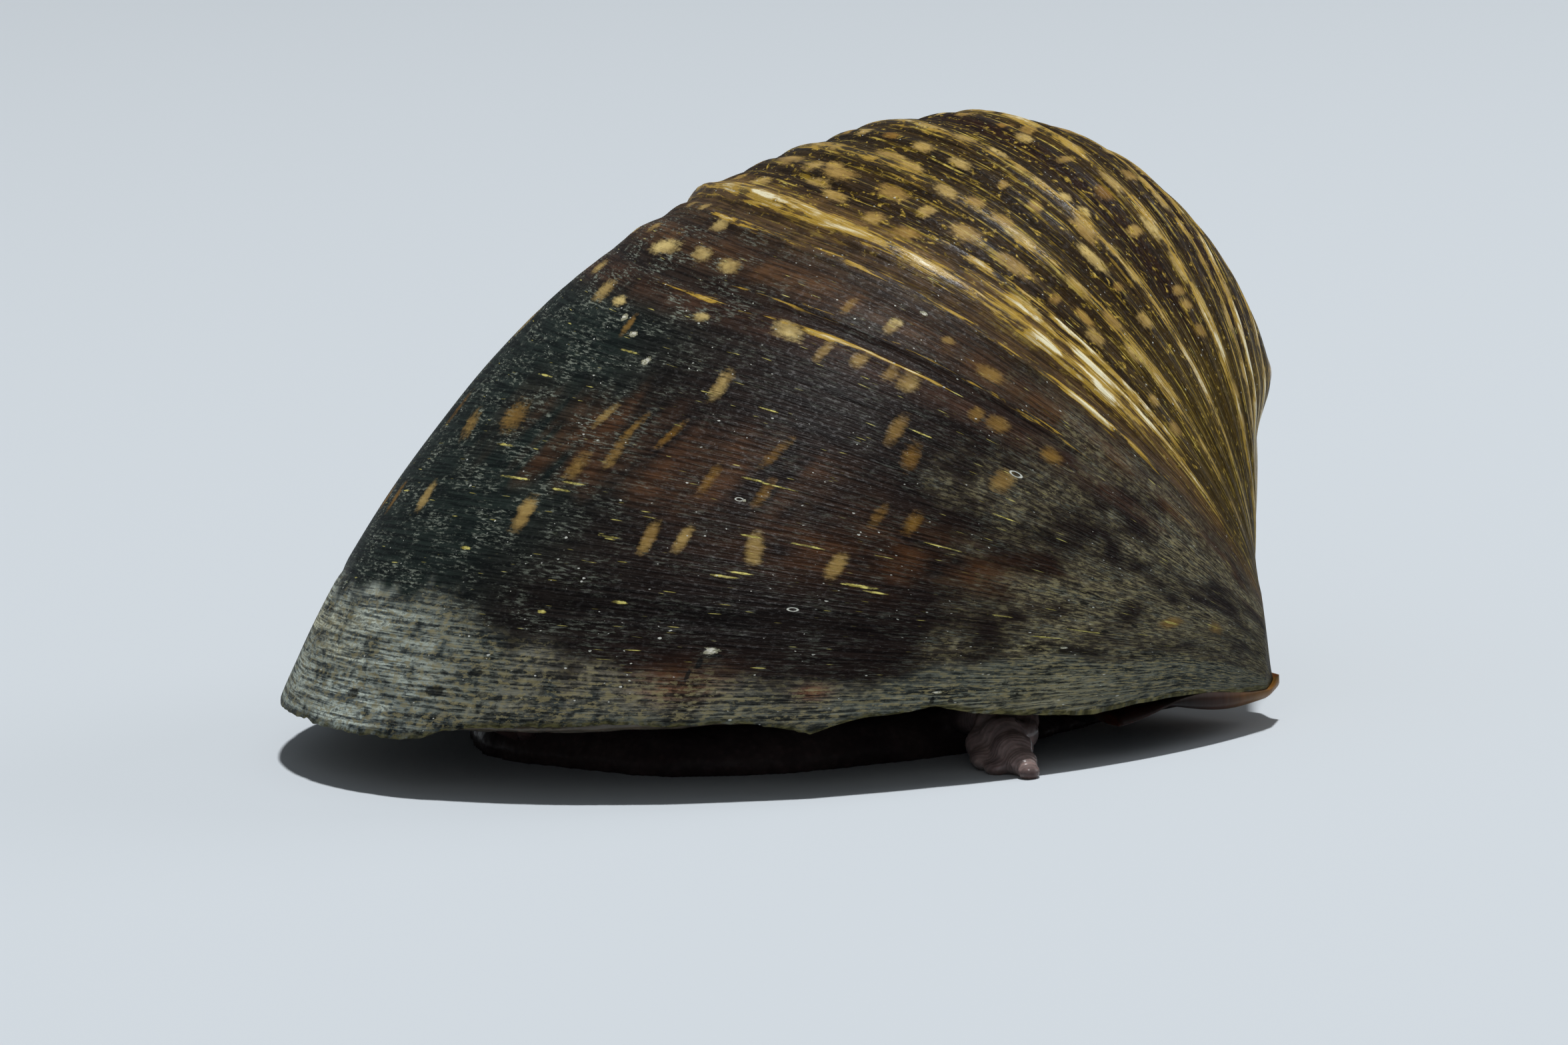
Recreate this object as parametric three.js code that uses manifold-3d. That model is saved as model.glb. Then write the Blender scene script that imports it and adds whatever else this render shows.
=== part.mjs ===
// A dark, helmet-shaped nerite snail at life size, resting low on a flat surface.
// Millimetres, +Z up. The head faces -X, the animal's left side is -Y, and the spire is at the right rear.
import * as THREE from 'three';
import { mergeVertices } from 'three/addons/utils/BufferGeometryUtils.js';
import Module from 'manifold-3d';

const wasm = await Module();
wasm.setup();

// Driving dimensions of the whole animal, in millimetres and degrees
const GAP = 0.3;
const LIP_HEIGHT = 1.5;
const HINGE_X = 5.2;
const LEFT_CORNER_Y = -9.0;
const RIGHT_CORNER_Y = 11.3;

// The shell is a fan of growth lines about the hinge line, which joins the two rear corners of the lip.
// Each has an angle above the front lip, and the reach of its middle from the hinge line.
const GROWTH_ANGLES = [-10, 20, 45, 70, 95, 120, 150, 180];
const GROWTH_REACHES = [24.0, 18.2, 15.4, 13.8, 13.0, 10.65, 6.4, 5.0];
const BACK_ANGLE = 180;
const LIP_ANGLE_LEFT = 2.0;
const LIP_ANGLE_RIGHT = -2.0;
const ROUNDNESS_AT_LIP = 0.34;
const ROUNDNESS_AT_BACK = 0.214;
const LEFT_POLE_SHIFT = 0.262;
const LEFT_POLE_SHIFT_FROM = 20;
const SHELL_WALL = 0.9;
const LIP_WALL = 0.5;
const LIP_TAPER_ANGLE = 14;
const HINGE_STEP = 0.5;

// The spire, a low coil that stands out of the body whorl at its right rear
const SPIRE_ANGLE = 122;
const SPIRE_ACROSS = 0.79;
const SPIRE_RADIUS = 2.6;
const SPIRE_RIM_HEIGHT = 0.32;
const SPIRE_RISE = 0.75;
const SPIRE_DEPTH = 2.0;
const WHORL_GROWTH_PER_TURN = 2.3;
const WHORL_BULGE = 0.15;

// The columellar deck, the shelf that closes the rear of the aperture
const DECK_THICKNESS = 0.6;
const DECK_FREE_EDGE_X = -0.5;
const DECK_RIM_MIDDLE_Z = 0.9;
const DECK_RISE = 1.0;
const DECK_TEETH = 9;
const DECK_TOOTH_DEPTH = 0.3;

// Soft parts
const BODY_CENTRE_Y = 0.9;
const FOOT_FRONT_X = -11.5;
const FOOT_REAR_X = 5.4;
const FOOT_HALF_WIDTH = 7.2;
const FOOT_HEIGHT = 1.15;
const TAIL_HEIGHT = 0.5;
const TAIL_FRONT_X = -1.0;
const FOOT_SPLIT_X = -6.6;
const FOLD_CENTRE = new THREE.Vector3(-3.65, -7.8, 0);
const FOLD_RADIUS = 0.86;
const FOLD_HEIGHT = 1.4;
// How far the fold flows outwards on the ground, from under its top.
const FOLD_TOE_X = -0.5;
const FOLD_TOE_Y = -1.5;
const COLUMN_FRONT_X = -8.3;
const COLUMN_REAR_X = -1.3;
const COLUMN_HALF_WIDTH = 4.6;
const COLUMN_TOP_Z = 4.0;
const CAVITY_FRONT_X = -13.3;
const CAVITY_REAR_X = -0.9;
const CAVITY_HALF_WIDTH = 7.9;
const MANTLE_EDGE_LOW_Z = 1.7;
const MANTLE_EDGE_HIGH_Z = 2.2;
const MANTLE_LOW_Z = 2.5;
const OPERCULUM_LOW_Z = 0.8;
const OPERCULUM_THICKNESS = 0.5;
const OPERCULUM_HALF_WIDTH = 5.0;
const OPERCULUM_LENGTH = 4.9;
const HEAD_REAR_X = -8.6;
const HEAD_SPLIT_X = -10.9;
const SNOUT_TIP_X = -13.0;
const MOUTH_X = -12.45;
const MOUTH_Z = 1.22;
const MOUTH_TILT = 30;
const TENTACLE_BASE_RADIUS = 0.5;
const TENTACLE_TIP_RADIUS = 0.27;
const EYE_RADIUS = 0.29;

const LEFT = -1;
const RIGHT = 1;

const SHELL_BROWN = new THREE.MeshStandardMaterial({ color: 0x2b211b, roughness: 0.42, metalness: 0 });
const SPIRE_BROWN = new THREE.MeshStandardMaterial({ color: 0x4a3828, roughness: 0.5, metalness: 0 });
const CALLUS_AMBER = new THREE.MeshStandardMaterial({ color: 0x9a6238, roughness: 0.28, metalness: 0 });
const OPERCULUM_GREY = new THREE.MeshStandardMaterial({ color: 0x6d6258, roughness: 0.35, metalness: 0 });
const FLESH_GREY = new THREE.MeshStandardMaterial({ color: 0x3d3134, roughness: 0.38, metalness: 0 });
const SOLE_GREY = new THREE.MeshStandardMaterial({ color: 0x6b5d58, roughness: 0.4, metalness: 0 });
const EYE_BLACK = new THREE.MeshStandardMaterial({ color: 0x060506, roughness: 0.08, metalness: 0 });

const snail = new THREE.Group();

function smoothStep(low, high, value) {
  return THREE.MathUtils.smoothstep(value, low, high);
}

// Cubic through named sizes, whose slope at each is that between its neighbours.
function throughSizes(places, sizes, place) {
  const last = places.length - 1;
  let i = 0;
  while (i < last - 1 && place >= places[i + 1]) i += 1;
  const slopeAt = (n) => {
    const before = Math.max(n - 1, 0);
    const after = Math.min(n + 1, last);
    return (sizes[after] - sizes[before]) / (places[after] - places[before]);
  };
  const step = places[i + 1] - places[i];
  const t = (place - places[i]) / step;
  const fromStart = (1 + 2 * t) * (1 - t) ** 2 * sizes[i];
  const fromEnd = t * t * (3 - 2 * t) * sizes[i + 1];
  const fromSlopes = step * (t * (1 - t) ** 2 * slopeAt(i) - t * t * (1 - t) * slopeAt(i + 1));
  return fromStart + fromEnd + fromSlopes;
}

function lipAngle(across) {
  return THREE.MathUtils.lerp(LIP_ANGLE_LEFT, LIP_ANGLE_RIGHT, across);
}

// How far a surface is drawn in from the shell's outside: all round, at the corners, and at its hinge line,
// which moves up and forward.
const OUTSIDE = { all: () => 0, corners: 0, lift: 0 };
const INSIDE = { all: wallAt, corners: SHELL_WALL, lift: HINGE_STEP };
const SOFT = { all: (angle) => wallAt(angle) + GAP, corners: SHELL_WALL + GAP, lift: HINGE_STEP + GAP };
const CLEAR = { all: () => -GAP, corners: -GAP, lift: -GAP };
const DECK_RIM = { all: () => 0.25, corners: 0.25, lift: 0 };

function wallAt(angle) {
  return THREE.MathUtils.lerp(LIP_WALL, SHELL_WALL, smoothStep(0, LIP_TAPER_ANGLE, angle));
}

// A point of the hood: angle picks the growth line, across runs from the left corner (0) to the right (1).
function hoodPoint(angle, across, drawnIn = OUTSIDE) {
  const share = angle / BACK_ANGLE;
  const roundness = THREE.MathUtils.lerp(ROUNDNESS_AT_LIP, ROUNDNESS_AT_BACK, share);
  const overhang = Math.asin(roundness / (1 - roundness));
  const turn = THREE.MathUtils.lerp(Math.PI + overhang, -overhang, across);
  const shift = LEFT_POLE_SHIFT * smoothStep(LEFT_POLE_SHIFT_FROM, BACK_ANGLE, angle);
  const along = shift + (1 - shift) * (0.5 + 0.5 * Math.cos(turn) / Math.cos(overhang));
  const radians = THREE.MathUtils.degToRad(angle);
  const liftAlongReach = drawnIn.lift * (Math.cos(radians) + Math.sin(radians));
  const reach = throughSizes(GROWTH_ANGLES, GROWTH_REACHES, angle) - drawnIn.all(angle) - liftAlongReach;
  const out = reach * (roundness + (1 - roundness) * Math.sin(turn));
  return new THREE.Vector3(
    HINGE_X - drawnIn.lift - Math.cos(radians) * out,
    THREE.MathUtils.lerp(LEFT_CORNER_Y + drawnIn.corners, RIGHT_CORNER_Y - drawnIn.corners, along),
    LIP_HEIGHT + drawnIn.lift + Math.sin(radians) * out,
  );
}

// Joins points and triangles into one geometry, with shared corners merged and flat triangles left out.
function geometryOf(points, triangles) {
  const loose = new THREE.BufferGeometry();
  loose.setAttribute('position', new THREE.Float32BufferAttribute(points.flatMap((p) => [p.x, p.y, p.z]), 3));
  loose.setIndex(triangles.flat());
  const merged = mergeVertices(loose, 1e-4);
  const index = Array.from(merged.index.array);
  const kept = [];
  for (let i = 0; i < index.length; i += 3) {
    const [a, b, c] = index.slice(i, i + 3);
    if (a !== b && b !== c && c !== a) kept.push(a, b, c);
  }
  merged.setIndex(kept);
  return merged;
}

function solidOf(geometry) {
  const bare = geometry.clone();
  bare.deleteAttribute('normal');
  bare.deleteAttribute('uv');
  const merged = mergeVertices(bare, 1e-4);
  const mesh = new wasm.Mesh({
    numProp: 3,
    vertProperties: Float32Array.from(merged.attributes.position.array),
    triVerts: Uint32Array.from(merged.index.array),
  });
  mesh.merge();
  return new wasm.Manifold(mesh);
}

// The largest closed surface of a solid, as a geometry.
function geometryFrom(solid) {
  const bodies = solid.decompose();
  bodies.sort((a, b) => b.volume() - a.volume());
  const mesh = bodies[0].getMesh();
  const geometry = new THREE.BufferGeometry();
  geometry.setAttribute('position', new THREE.Float32BufferAttribute(mesh.vertProperties, 3));
  geometry.setIndex(Array.from(mesh.triVerts));
  return geometry;
}

function addNode(name, geometry, material) {
  const shaded = geometry.index ? geometry.toNonIndexed() : geometry;
  shaded.computeVertexNormals();
  const mesh = new THREE.Mesh(shaded, material);
  mesh.name = name;
  snail.add(mesh);
}

function block(lowX, highX, lowZ, highZ) {
  const size = 60;
  const box = new THREE.BoxGeometry(highX - lowX, size, highZ - lowZ);
  box.translate((lowX + highX) / 2, 0, (lowZ + highZ) / 2);
  return solidOf(box);
}

// A wall between an outer and an inner grid of points, closed along all four edges of the grid.
function wallBetween(outer, inner) {
  const rows = outer.length;
  const columns = outer[0].length;
  const points = [...outer.flat(), ...inner.flat()];
  const innerStart = rows * columns;
  const at = (row, column) => row * columns + column;
  const triangles = [];
  const quad = (a, b, c, d) => triangles.push([c, b, a], [d, c, a]);
  for (let row = 0; row < rows - 1; row += 1) {
    for (let column = 0; column < columns - 1; column += 1) {
      const [a, b] = [at(row, column), at(row, column + 1)];
      const [d, c] = [at(row + 1, column), at(row + 1, column + 1)];
      quad(a, b, c, d);
      quad(innerStart + d, innerStart + c, innerStart + b, innerStart + a);
    }
  }
  const edge = [];
  for (let column = 0; column < columns - 1; column += 1) edge.push(at(0, column));
  for (let row = 0; row < rows - 1; row += 1) edge.push(at(row, columns - 1));
  for (let column = columns - 1; column > 0; column -= 1) edge.push(at(rows - 1, column));
  for (let row = rows - 1; row > 0; row -= 1) edge.push(at(row, 0));
  edge.forEach((a, i) => {
    const b = edge[(i + 1) % edge.length];
    quad(b, a, innerStart + a, innerStart + b);
  });
  return geometryOf(points, triangles);
}

// Points of the hood on growth lines from the lip, or a lower angle, to the back.
function hoodGrid(rows, columns, drawnIn, startAngle) {
  const grid = [];
  for (let row = 0; row <= rows; row += 1) {
    const line = [];
    for (let column = 0; column <= columns; column += 1) {
      const across = column / columns;
      const angle = THREE.MathUtils.lerp(startAngle ?? lipAngle(across), BACK_ANGLE, row / rows);
      line.push(hoodPoint(angle, across, drawnIn));
    }
    grid.push(line);
  }
  return grid;
}

// The space inside the hood as a solid. Two fans about the right corner close its underside,
// and meet along the hinge line.
function filledHood(rows, columns, drawnIn, startAngle) {
  const points = hoodGrid(rows, columns, drawnIn, startAngle).flat();
  const width = columns + 1;
  const triangles = [];
  for (let row = 0; row < rows; row += 1) {
    for (let column = 0; column < columns; column += 1) {
      const a = row * width + column;
      triangles.push([a + width + 1, a + 1, a], [a + width, a + width + 1, a]);
    }
  }
  const corner = columns;
  const backRow = rows * width;
  for (let column = 1; column < columns; column += 1) triangles.push([corner, column, column + 1]);
  for (let row = 0; row < rows; row += 1) triangles.push([1, (row + 1) * width, row * width]);
  triangles.push([1, corner, backRow]);
  for (let column = 0; column < columns; column += 1) {
    triangles.push([corner, backRow + column + 1, backRow + column]);
  }
  return solidOf(geometryOf(points, triangles));
}

// A closed body along a curve. Every ring is square to the curve, and reach(t, turn) gives its half-sizes.
function sweptBody(curve, rings, sides, reach) {
  const up = new THREE.Vector3(0, 0, 1);
  const points = [];
  const triangles = [];
  for (let ring = 0; ring <= rings; ring += 1) {
    const t = ring / rings;
    const centre = curve.getPointAt(t);
    const side = new THREE.Vector3().crossVectors(curve.getTangentAt(t), up).normalize();
    const top = new THREE.Vector3().crossVectors(side, curve.getTangentAt(t)).normalize();
    for (let n = 0; n < sides; n += 1) {
      const turn = (2 * Math.PI * n) / sides;
      const [wide, high] = reach(t, turn);
      const acrossPart = side.clone().multiplyScalar(wide * Math.cos(turn));
      const upPart = top.clone().multiplyScalar(high * Math.sin(turn));
      points.push(centre.clone().add(acrossPart).add(upPart));
    }
  }
  for (let ring = 0; ring < rings; ring += 1) {
    for (let n = 0; n < sides; n += 1) {
      const a = ring * sides + n;
      const b = ring * sides + ((n + 1) % sides);
      triangles.push([b + sides, b, a], [a + sides, b + sides, a]);
    }
  }
  const start = points.length;
  points.push(curve.getPointAt(0), curve.getPointAt(1));
  const lastRing = rings * sides;
  for (let n = 0; n < sides; n += 1) {
    const next = (n + 1) % sides;
    triangles.push([start, n, next], [start + 1, lastRing + next, lastRing + n]);
  }
  return geometryOf(points, triangles);
}

// A flat-lying body over a closed outline, made of rings drawn in towards its centre.
// topAt and bottomAt give its two faces from a point and from the ring's scale.
function plate(outline, centre, scales, topAt, bottomAt) {
  const count = outline.length;
  const points = [];
  const triangles = [];
  for (const heightAt of [topAt, bottomAt]) {
    for (const scale of scales) {
      for (const corner of outline) {
        const x = THREE.MathUtils.lerp(centre.x, corner.x, scale);
        const y = THREE.MathUtils.lerp(centre.y, corner.y, scale);
        points.push(new THREE.Vector3(x, y, heightAt(x, y, scale)));
      }
    }
    points.push(new THREE.Vector3(centre.x, centre.y, heightAt(centre.x, centre.y, 0)));
  }
  const faceSize = scales.length * count + 1;
  for (let n = 0; n < count; n += 1) {
    const next = (n + 1) % count;
    for (let ring = 0; ring < scales.length - 1; ring += 1) {
      const [a, b] = [ring * count + n, ring * count + next];
      triangles.push([a, b, b + count], [a, b + count, a + count]);
      const [c, d] = [faceSize + a, faceSize + b];
      triangles.push([d, c, c + count], [d, c + count, d + count]);
    }
    const innerRing = (scales.length - 1) * count;
    triangles.push([innerRing + n, innerRing + next, faceSize - 1]);
    triangles.push([faceSize + innerRing + next, faceSize + innerRing + n, 2 * faceSize - 1]);
    triangles.push([n, faceSize + n, faceSize + next], [n, faceSize + next, next]);
  }
  return geometryOf(points, triangles);
}

// An oval outline, anticlockwise from above. Squareness 2 is an ellipse, and more is nearer a rectangle.
function oval(lowX, highX, centreY, halfWidth, squareness, count) {
  const outline = [];
  for (let n = 0; n < count; n += 1) {
    const turn = (2 * Math.PI * n) / count;
    const round = (value) => Math.sign(value) * Math.abs(value) ** (2 / squareness);
    const x = (lowX + highX) / 2 + ((highX - lowX) / 2) * round(Math.cos(turn));
    outline.push(new THREE.Vector3(x, centreY + halfWidth * round(Math.sin(turn)), 0));
  }
  return outline;
}

function shellBodyWhorl() {
  const rows = 30;
  const columns = 42;
  const outer = hoodGrid(rows, columns, OUTSIDE);
  const inner = hoodGrid(rows, columns, INSIDE);
  return wallBetween(outer, inner);
}

// The direction straight out of the hood at a point.
function hoodOutward(angle, across) {
  const step = 0.01;
  const alongGrowth = hoodPoint(angle + step, across).sub(hoodPoint(angle - step, across));
  const alongLine = hoodPoint(angle, across + step).sub(hoodPoint(angle, across - step));
  return alongGrowth.cross(alongLine).normalize();
}

// A low coil: a shallow cone on which every whorl stands out as a round ridge, with the seam sunk between.
function shellSpire() {
  const rings = 9;
  const sides = 48;
  const centre = hoodPoint(SPIRE_ANGLE, SPIRE_ACROSS);
  const axis = hoodOutward(SPIRE_ANGLE, SPIRE_ACROSS);
  const heightAt = (radius, turn) => {
    const share = radius / SPIRE_RADIUS;
    const turns = Math.log(share) / Math.log(WHORL_GROWTH_PER_TURN) + turn / (2 * Math.PI);
    const acrossWhorl = turns - Math.floor(turns);
    const bulge = WHORL_BULGE * radius * Math.sin(Math.PI * acrossWhorl) ** 0.7;
    const shoulder = Math.sqrt(1 - share ** 6);
    return SPIRE_RIM_HEIGHT + shoulder * (SPIRE_RISE * (1 - share ** 1.6) + bulge);
  };
  const side = new THREE.Vector3(0, 0, 1).cross(axis).normalize();
  const up = new THREE.Vector3().crossVectors(axis, side);
  const place = (radius, turn, height) => centre.clone()
    .addScaledVector(side, radius * Math.cos(turn))
    .addScaledVector(up, radius * Math.sin(turn))
    .addScaledVector(axis, height);
  const points = [];
  const triangles = [];
  for (let ring = 0; ring <= rings; ring += 1) {
    const radius = SPIRE_RADIUS * (1 - (ring / (rings + 0.5)) ** 1.3);
    for (let n = 0; n < sides; n += 1) {
      const turn = (2 * Math.PI * n) / sides;
      points.push(place(radius, turn, heightAt(radius, turn)));
    }
  }
  for (let n = 0; n < sides; n += 1) {
    points.push(place(SPIRE_RADIUS, (2 * Math.PI * n) / sides, -SPIRE_DEPTH));
  }
  const baseStart = (rings + 1) * sides;
  points.push(place(0, 0, SPIRE_RIM_HEIGHT + SPIRE_RISE), place(0, 0, -SPIRE_DEPTH));
  const apex = baseStart + sides;
  for (let n = 0; n < sides; n += 1) {
    const next = (n + 1) % sides;
    for (let ring = 0; ring < rings; ring += 1) {
      const [a, b] = [ring * sides + n, ring * sides + next];
      triangles.push([a, b, b + sides], [a, b + sides, a + sides]);
    }
    triangles.push([rings * sides + n, rings * sides + next, apex]);
    triangles.push([baseStart + n, baseStart + next, next], [baseStart + n, next, n]);
    triangles.push([baseStart + next, baseStart + n, apex + 1]);
  }
  return geometryOf(points, triangles);
}

// The deck's outline from above: the free edge in front with its teeth, and the lip's outline behind it.
function deckOutline() {
  const outline = [];
  const sideSteps = 10;
  const sideEnd = 0.12;
  const backSteps = 22;
  const edgeSteps = 4 * DECK_TEETH;
  for (let n = 0; n < sideSteps; n += 1) {
    outline.push(hoodPoint(0, sideEnd * (1 - n / sideSteps), DECK_RIM));
  }
  for (let n = 0; n <= backSteps; n += 1) {
    outline.push(hoodPoint(BACK_ANGLE, n / backSteps, DECK_RIM));
  }
  for (let n = 1; n <= sideSteps; n += 1) {
    outline.push(hoodPoint(0, 1 - (sideEnd * n) / sideSteps, DECK_RIM));
  }
  const rightEnd = outline[outline.length - 1];
  const leftEnd = outline[0];
  for (let n = 1; n < edgeSteps; n += 1) {
    const share = n / edgeSteps;
    const toothZone = smoothStep(0.12, 0.25, share) * (1 - smoothStep(0.75, 0.88, share));
    const tooth = DECK_TOOTH_DEPTH * toothZone * Math.abs(Math.sin(Math.PI * DECK_TEETH * share));
    const hollow = smoothStep(0, 0.2, share) * (1 - smoothStep(0.8, 1, share));
    const y = THREE.MathUtils.lerp(rightEnd.y, leftEnd.y, share);
    const endX = THREE.MathUtils.lerp(rightEnd.x, leftEnd.x, share);
    outline.push(new THREE.Vector3(THREE.MathUtils.lerp(endX, DECK_FREE_EDGE_X, hollow) - tooth, y, 0));
  }
  return outline;
}

// The deck is low at both corners and along the back, and rises over the foot's tail in the middle.
function deckMiddleZ(x, y, scale) {
  const overTail = 1 - smoothStep(4.9, 8.6, Math.abs(y - BODY_CENTRE_Y));
  const beforeBack = 1 - smoothStep(4.8, 8.2, x);
  const insideRim = Math.max(1 - smoothStep(0.7, 0.95, scale), 1 - smoothStep(2.0, 4.0, x));
  return DECK_RIM_MIDDLE_Z + DECK_RISE * overTail * beforeBack * insideRim;
}

function columellarDeck() {
  const scales = [1, 0.98, 0.94, 0.8, 0.5];
  const half = (scale) => (DECK_THICKNESS / 2) * Math.sqrt(1 - Math.max(0, (scale - 0.95) / 0.06) ** 2);
  const centre = new THREE.Vector3(3.0, BODY_CENTRE_Y, 0);
  const top = (x, y, scale) => deckMiddleZ(x, y, scale) + half(scale);
  const bottom = (x, y, scale) => deckMiddleZ(x, y, scale) - half(scale);
  return plate(deckOutline(), centre, scales, top, bottom);
}

function operculum() {
  const count = 40;
  const outline = [];
  const frontX = -0.4;
  for (let n = 0; n < count; n += 1) {
    const turn = (2 * Math.PI * n) / count;
    const back = Math.max(Math.cos(turn), -0.16);
    outline.push(new THREE.Vector3(
      frontX + 0.8 + (OPERCULUM_LENGTH - 0.8) * back,
      BODY_CENTRE_Y + OPERCULUM_HALF_WIDTH * Math.sin(turn),
      0,
    ));
  }
  const centre = new THREE.Vector3(frontX + 1.6, BODY_CENTRE_Y, 0);
  const top = (x, y, scale) => OPERCULUM_LOW_Z + OPERCULUM_THICKNESS - (scale > 0.97 ? 0.15 : 0);
  const bottom = (x, y, scale) => OPERCULUM_LOW_Z + (scale > 0.97 ? 0.15 : 0);
  return plate(outline, centre, [1, 0.95, 0.6, 0.3], top, bottom);
}

// The foot lies flat on its sole. Its margin is rounded and waves a little, and its rear is thin.
function wholeFoot(grow = 0) {
  const halfWidth = FOOT_HALF_WIDTH + grow;
  const outline = oval(FOOT_FRONT_X - grow, FOOT_REAR_X + grow, BODY_CENTRE_Y, halfWidth, 2.4, 72);
  const centre = new THREE.Vector3((FOOT_FRONT_X + FOOT_REAR_X) / 2, BODY_CENTRE_Y, 0);
  outline.forEach((corner, n) => {
    const wave = 0.012 * Math.sin((2 * Math.PI * 7 * n) / 72) + 0.008 * Math.sin((2 * Math.PI * 11 * n) / 72);
    corner.sub(centre).multiplyScalar(1 + wave).add(centre);
  });
  const scales = [1, 0.975, 0.93, 0.85, 0.7, 0.45];
  const top = (x, y, scale) => {
    const onTail = smoothStep(TAIL_FRONT_X - 1.5, TAIL_FRONT_X, x);
    const height = THREE.MathUtils.lerp(FOOT_HEIGHT, TAIL_HEIGHT, onTail);
    const rounding = Math.sqrt(1 - Math.max(0, (scale - 0.85) / 0.15) ** 2 * 0.9);
    return height * Math.max(rounding, 0.3);
  };
  return solidOf(plate(outline, centre, scales, top, () => 0));
}

// The fold of the foot's left edge that shows below the lip: a wrinkled knob that stands on the ground.
function leftFold(foot) {
  const rings = 12;
  const sides = 28;
  const outline = [];
  const points = [];
  const triangles = [];
  for (let n = 0; n < sides; n += 1) outline.push((2 * Math.PI * n) / sides);
  for (let ring = 0; ring < rings; ring += 1) {
    const t = ring / rings;
    const belly = 0.86 + 0.16 * Math.sin(Math.PI * Math.min(t * 1.5, 1));
    const profile = belly * Math.sqrt(1 - (t * 0.985) ** 4);
    const flow = (1 - t) ** 1.5;
    const wrinkle = 1 + 0.05 * Math.sin(2 * Math.PI * t * 4);
    outline.forEach((turn) => {
      const lobes = 1 + 0.07 * Math.sin(3 * turn + 0.8) + 0.04 * Math.sin(5 * turn + t * 3);
      const radius = FOLD_RADIUS * profile * wrinkle * lobes;
      points.push(new THREE.Vector3(
        FOLD_CENTRE.x + FOLD_TOE_X * flow + radius * Math.cos(turn),
        FOLD_CENTRE.y + FOLD_TOE_Y * flow + radius * Math.sin(turn) * 1.15,
        FOLD_HEIGHT * t,
      ));
    });
  }
  const top = points.length;
  points.push(new THREE.Vector3(FOLD_CENTRE.x, FOLD_CENTRE.y, FOLD_HEIGHT));
  points.push(new THREE.Vector3(FOLD_CENTRE.x + FOLD_TOE_X, FOLD_CENTRE.y + FOLD_TOE_Y, 0));
  for (let n = 0; n < sides; n += 1) {
    const next = (n + 1) % sides;
    for (let ring = 0; ring < rings - 1; ring += 1) {
      const [a, b] = [ring * sides + n, ring * sides + next];
      triangles.push([a, b, b + sides], [a, b + sides, a + sides]);
    }
    triangles.push([(rings - 1) * sides + n, (rings - 1) * sides + next, top], [next, n, top + 1]);
  }
  const fold = solidOf(geometryOf(points, triangles));
  return fold.subtract(foot);
}

// The column of flesh between the foot and the mantle.
function bodyColumn() {
  const outline = oval(COLUMN_FRONT_X - 0.8, COLUMN_REAR_X, BODY_CENTRE_Y, COLUMN_HALF_WIDTH, 3, 40);
  const centre = new THREE.Vector3((COLUMN_FRONT_X + COLUMN_REAR_X) / 2, BODY_CENTRE_Y, 0);
  const topZ = (x, y, scale) => COLUMN_TOP_Z - (scale > 0.97 ? 0.4 : 0);
  const bottomZ = (x, y, scale) => FOOT_HEIGHT + GAP + (scale > 0.97 ? 0.2 : 0);
  const column = solidOf(plate(outline, centre, [1, 0.93, 0.5], topZ, bottomZ));
  return column.intersect(block(COLUMN_FRONT_X, COLUMN_REAR_X + 1, 0, 10));
}

function mantleCavity() {
  const outline = oval(CAVITY_FRONT_X, CAVITY_REAR_X, BODY_CENTRE_Y, CAVITY_HALF_WIDTH, 3, 48);
  const centre = new THREE.Vector3((CAVITY_FRONT_X + CAVITY_REAR_X) / 2, BODY_CENTRE_Y, 0);
  return solidOf(plate(outline, centre, [1, 0.5], () => COLUMN_TOP_Z + GAP, () => 0));
}

// Head and snout in one: a broad, low form that bends down in front and ends in two lobes.
function wholeHead() {
  const spine = new THREE.CatmullRomCurve3([
    new THREE.Vector3(HEAD_REAR_X + 0.4, BODY_CENTRE_Y, 2.65),
    new THREE.Vector3(-10.3, BODY_CENTRE_Y, 2.6),
    new THREE.Vector3(-11.9, BODY_CENTRE_Y, 2.15),
    new THREE.Vector3(SNOUT_TIP_X, BODY_CENTRE_Y, 1.6),
  ]);
  const places = [0, 0.35, 0.55, 0.8, 0.93, 1];
  const widths = [2.5, 2.35, 1.95, 2.1, 1.9, 1.2];
  const heights = [1.18, 1.18, 1.0, 0.92, 0.8, 0.45];
  const reach = (t, turn) => {
    const notch = 1 - 0.16 * smoothStep(0.8, 1, t) * Math.abs(Math.sin(turn)) ** 6;
    const square = 1 + 0.09 * Math.sin(2 * turn) ** 2;
    const fullness = square * notch;
    return [throughSizes(places, widths, t) * fullness, throughSizes(places, heights, t) * fullness];
  };
  return solidOf(sweptBody(spine, 18, 28, reach));
}

// The lips: a ring round the mouth, under the front of the snout, with the mouth's slit cut into it.
function mouthPlace(geometry) {
  geometry.rotateY(THREE.MathUtils.degToRad(MOUTH_TILT));
  geometry.translate(MOUTH_X, BODY_CENTRE_Y, MOUTH_Z);
  return solidOf(geometry);
}

function lips() {
  return mouthPlace(new THREE.TorusGeometry(0.62, 0.26, 6, 20));
}

function mouthSlit() {
  return mouthPlace(new THREE.SphereGeometry(1, 12, 8).scale(0.55, 0.16, 0.7));
}

// A tentacle curls from the head's side along the inside of the lip, and ends in a blunt tip.
function tentacleCurve(side) {
  const fromMiddle = [
    [-10.35, 2.75, 2.7], [-11.35, 3.6, 2.65], [-11.6, 4.75, 2.3], [-10.7, 5.75, 1.95], [-9.3, 6.1, 1.7],
  ];
  const points = fromMiddle.map(([x, y, z]) => new THREE.Vector3(x, BODY_CENTRE_Y + side * y, z));
  return new THREE.CatmullRomCurve3(points);
}

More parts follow.
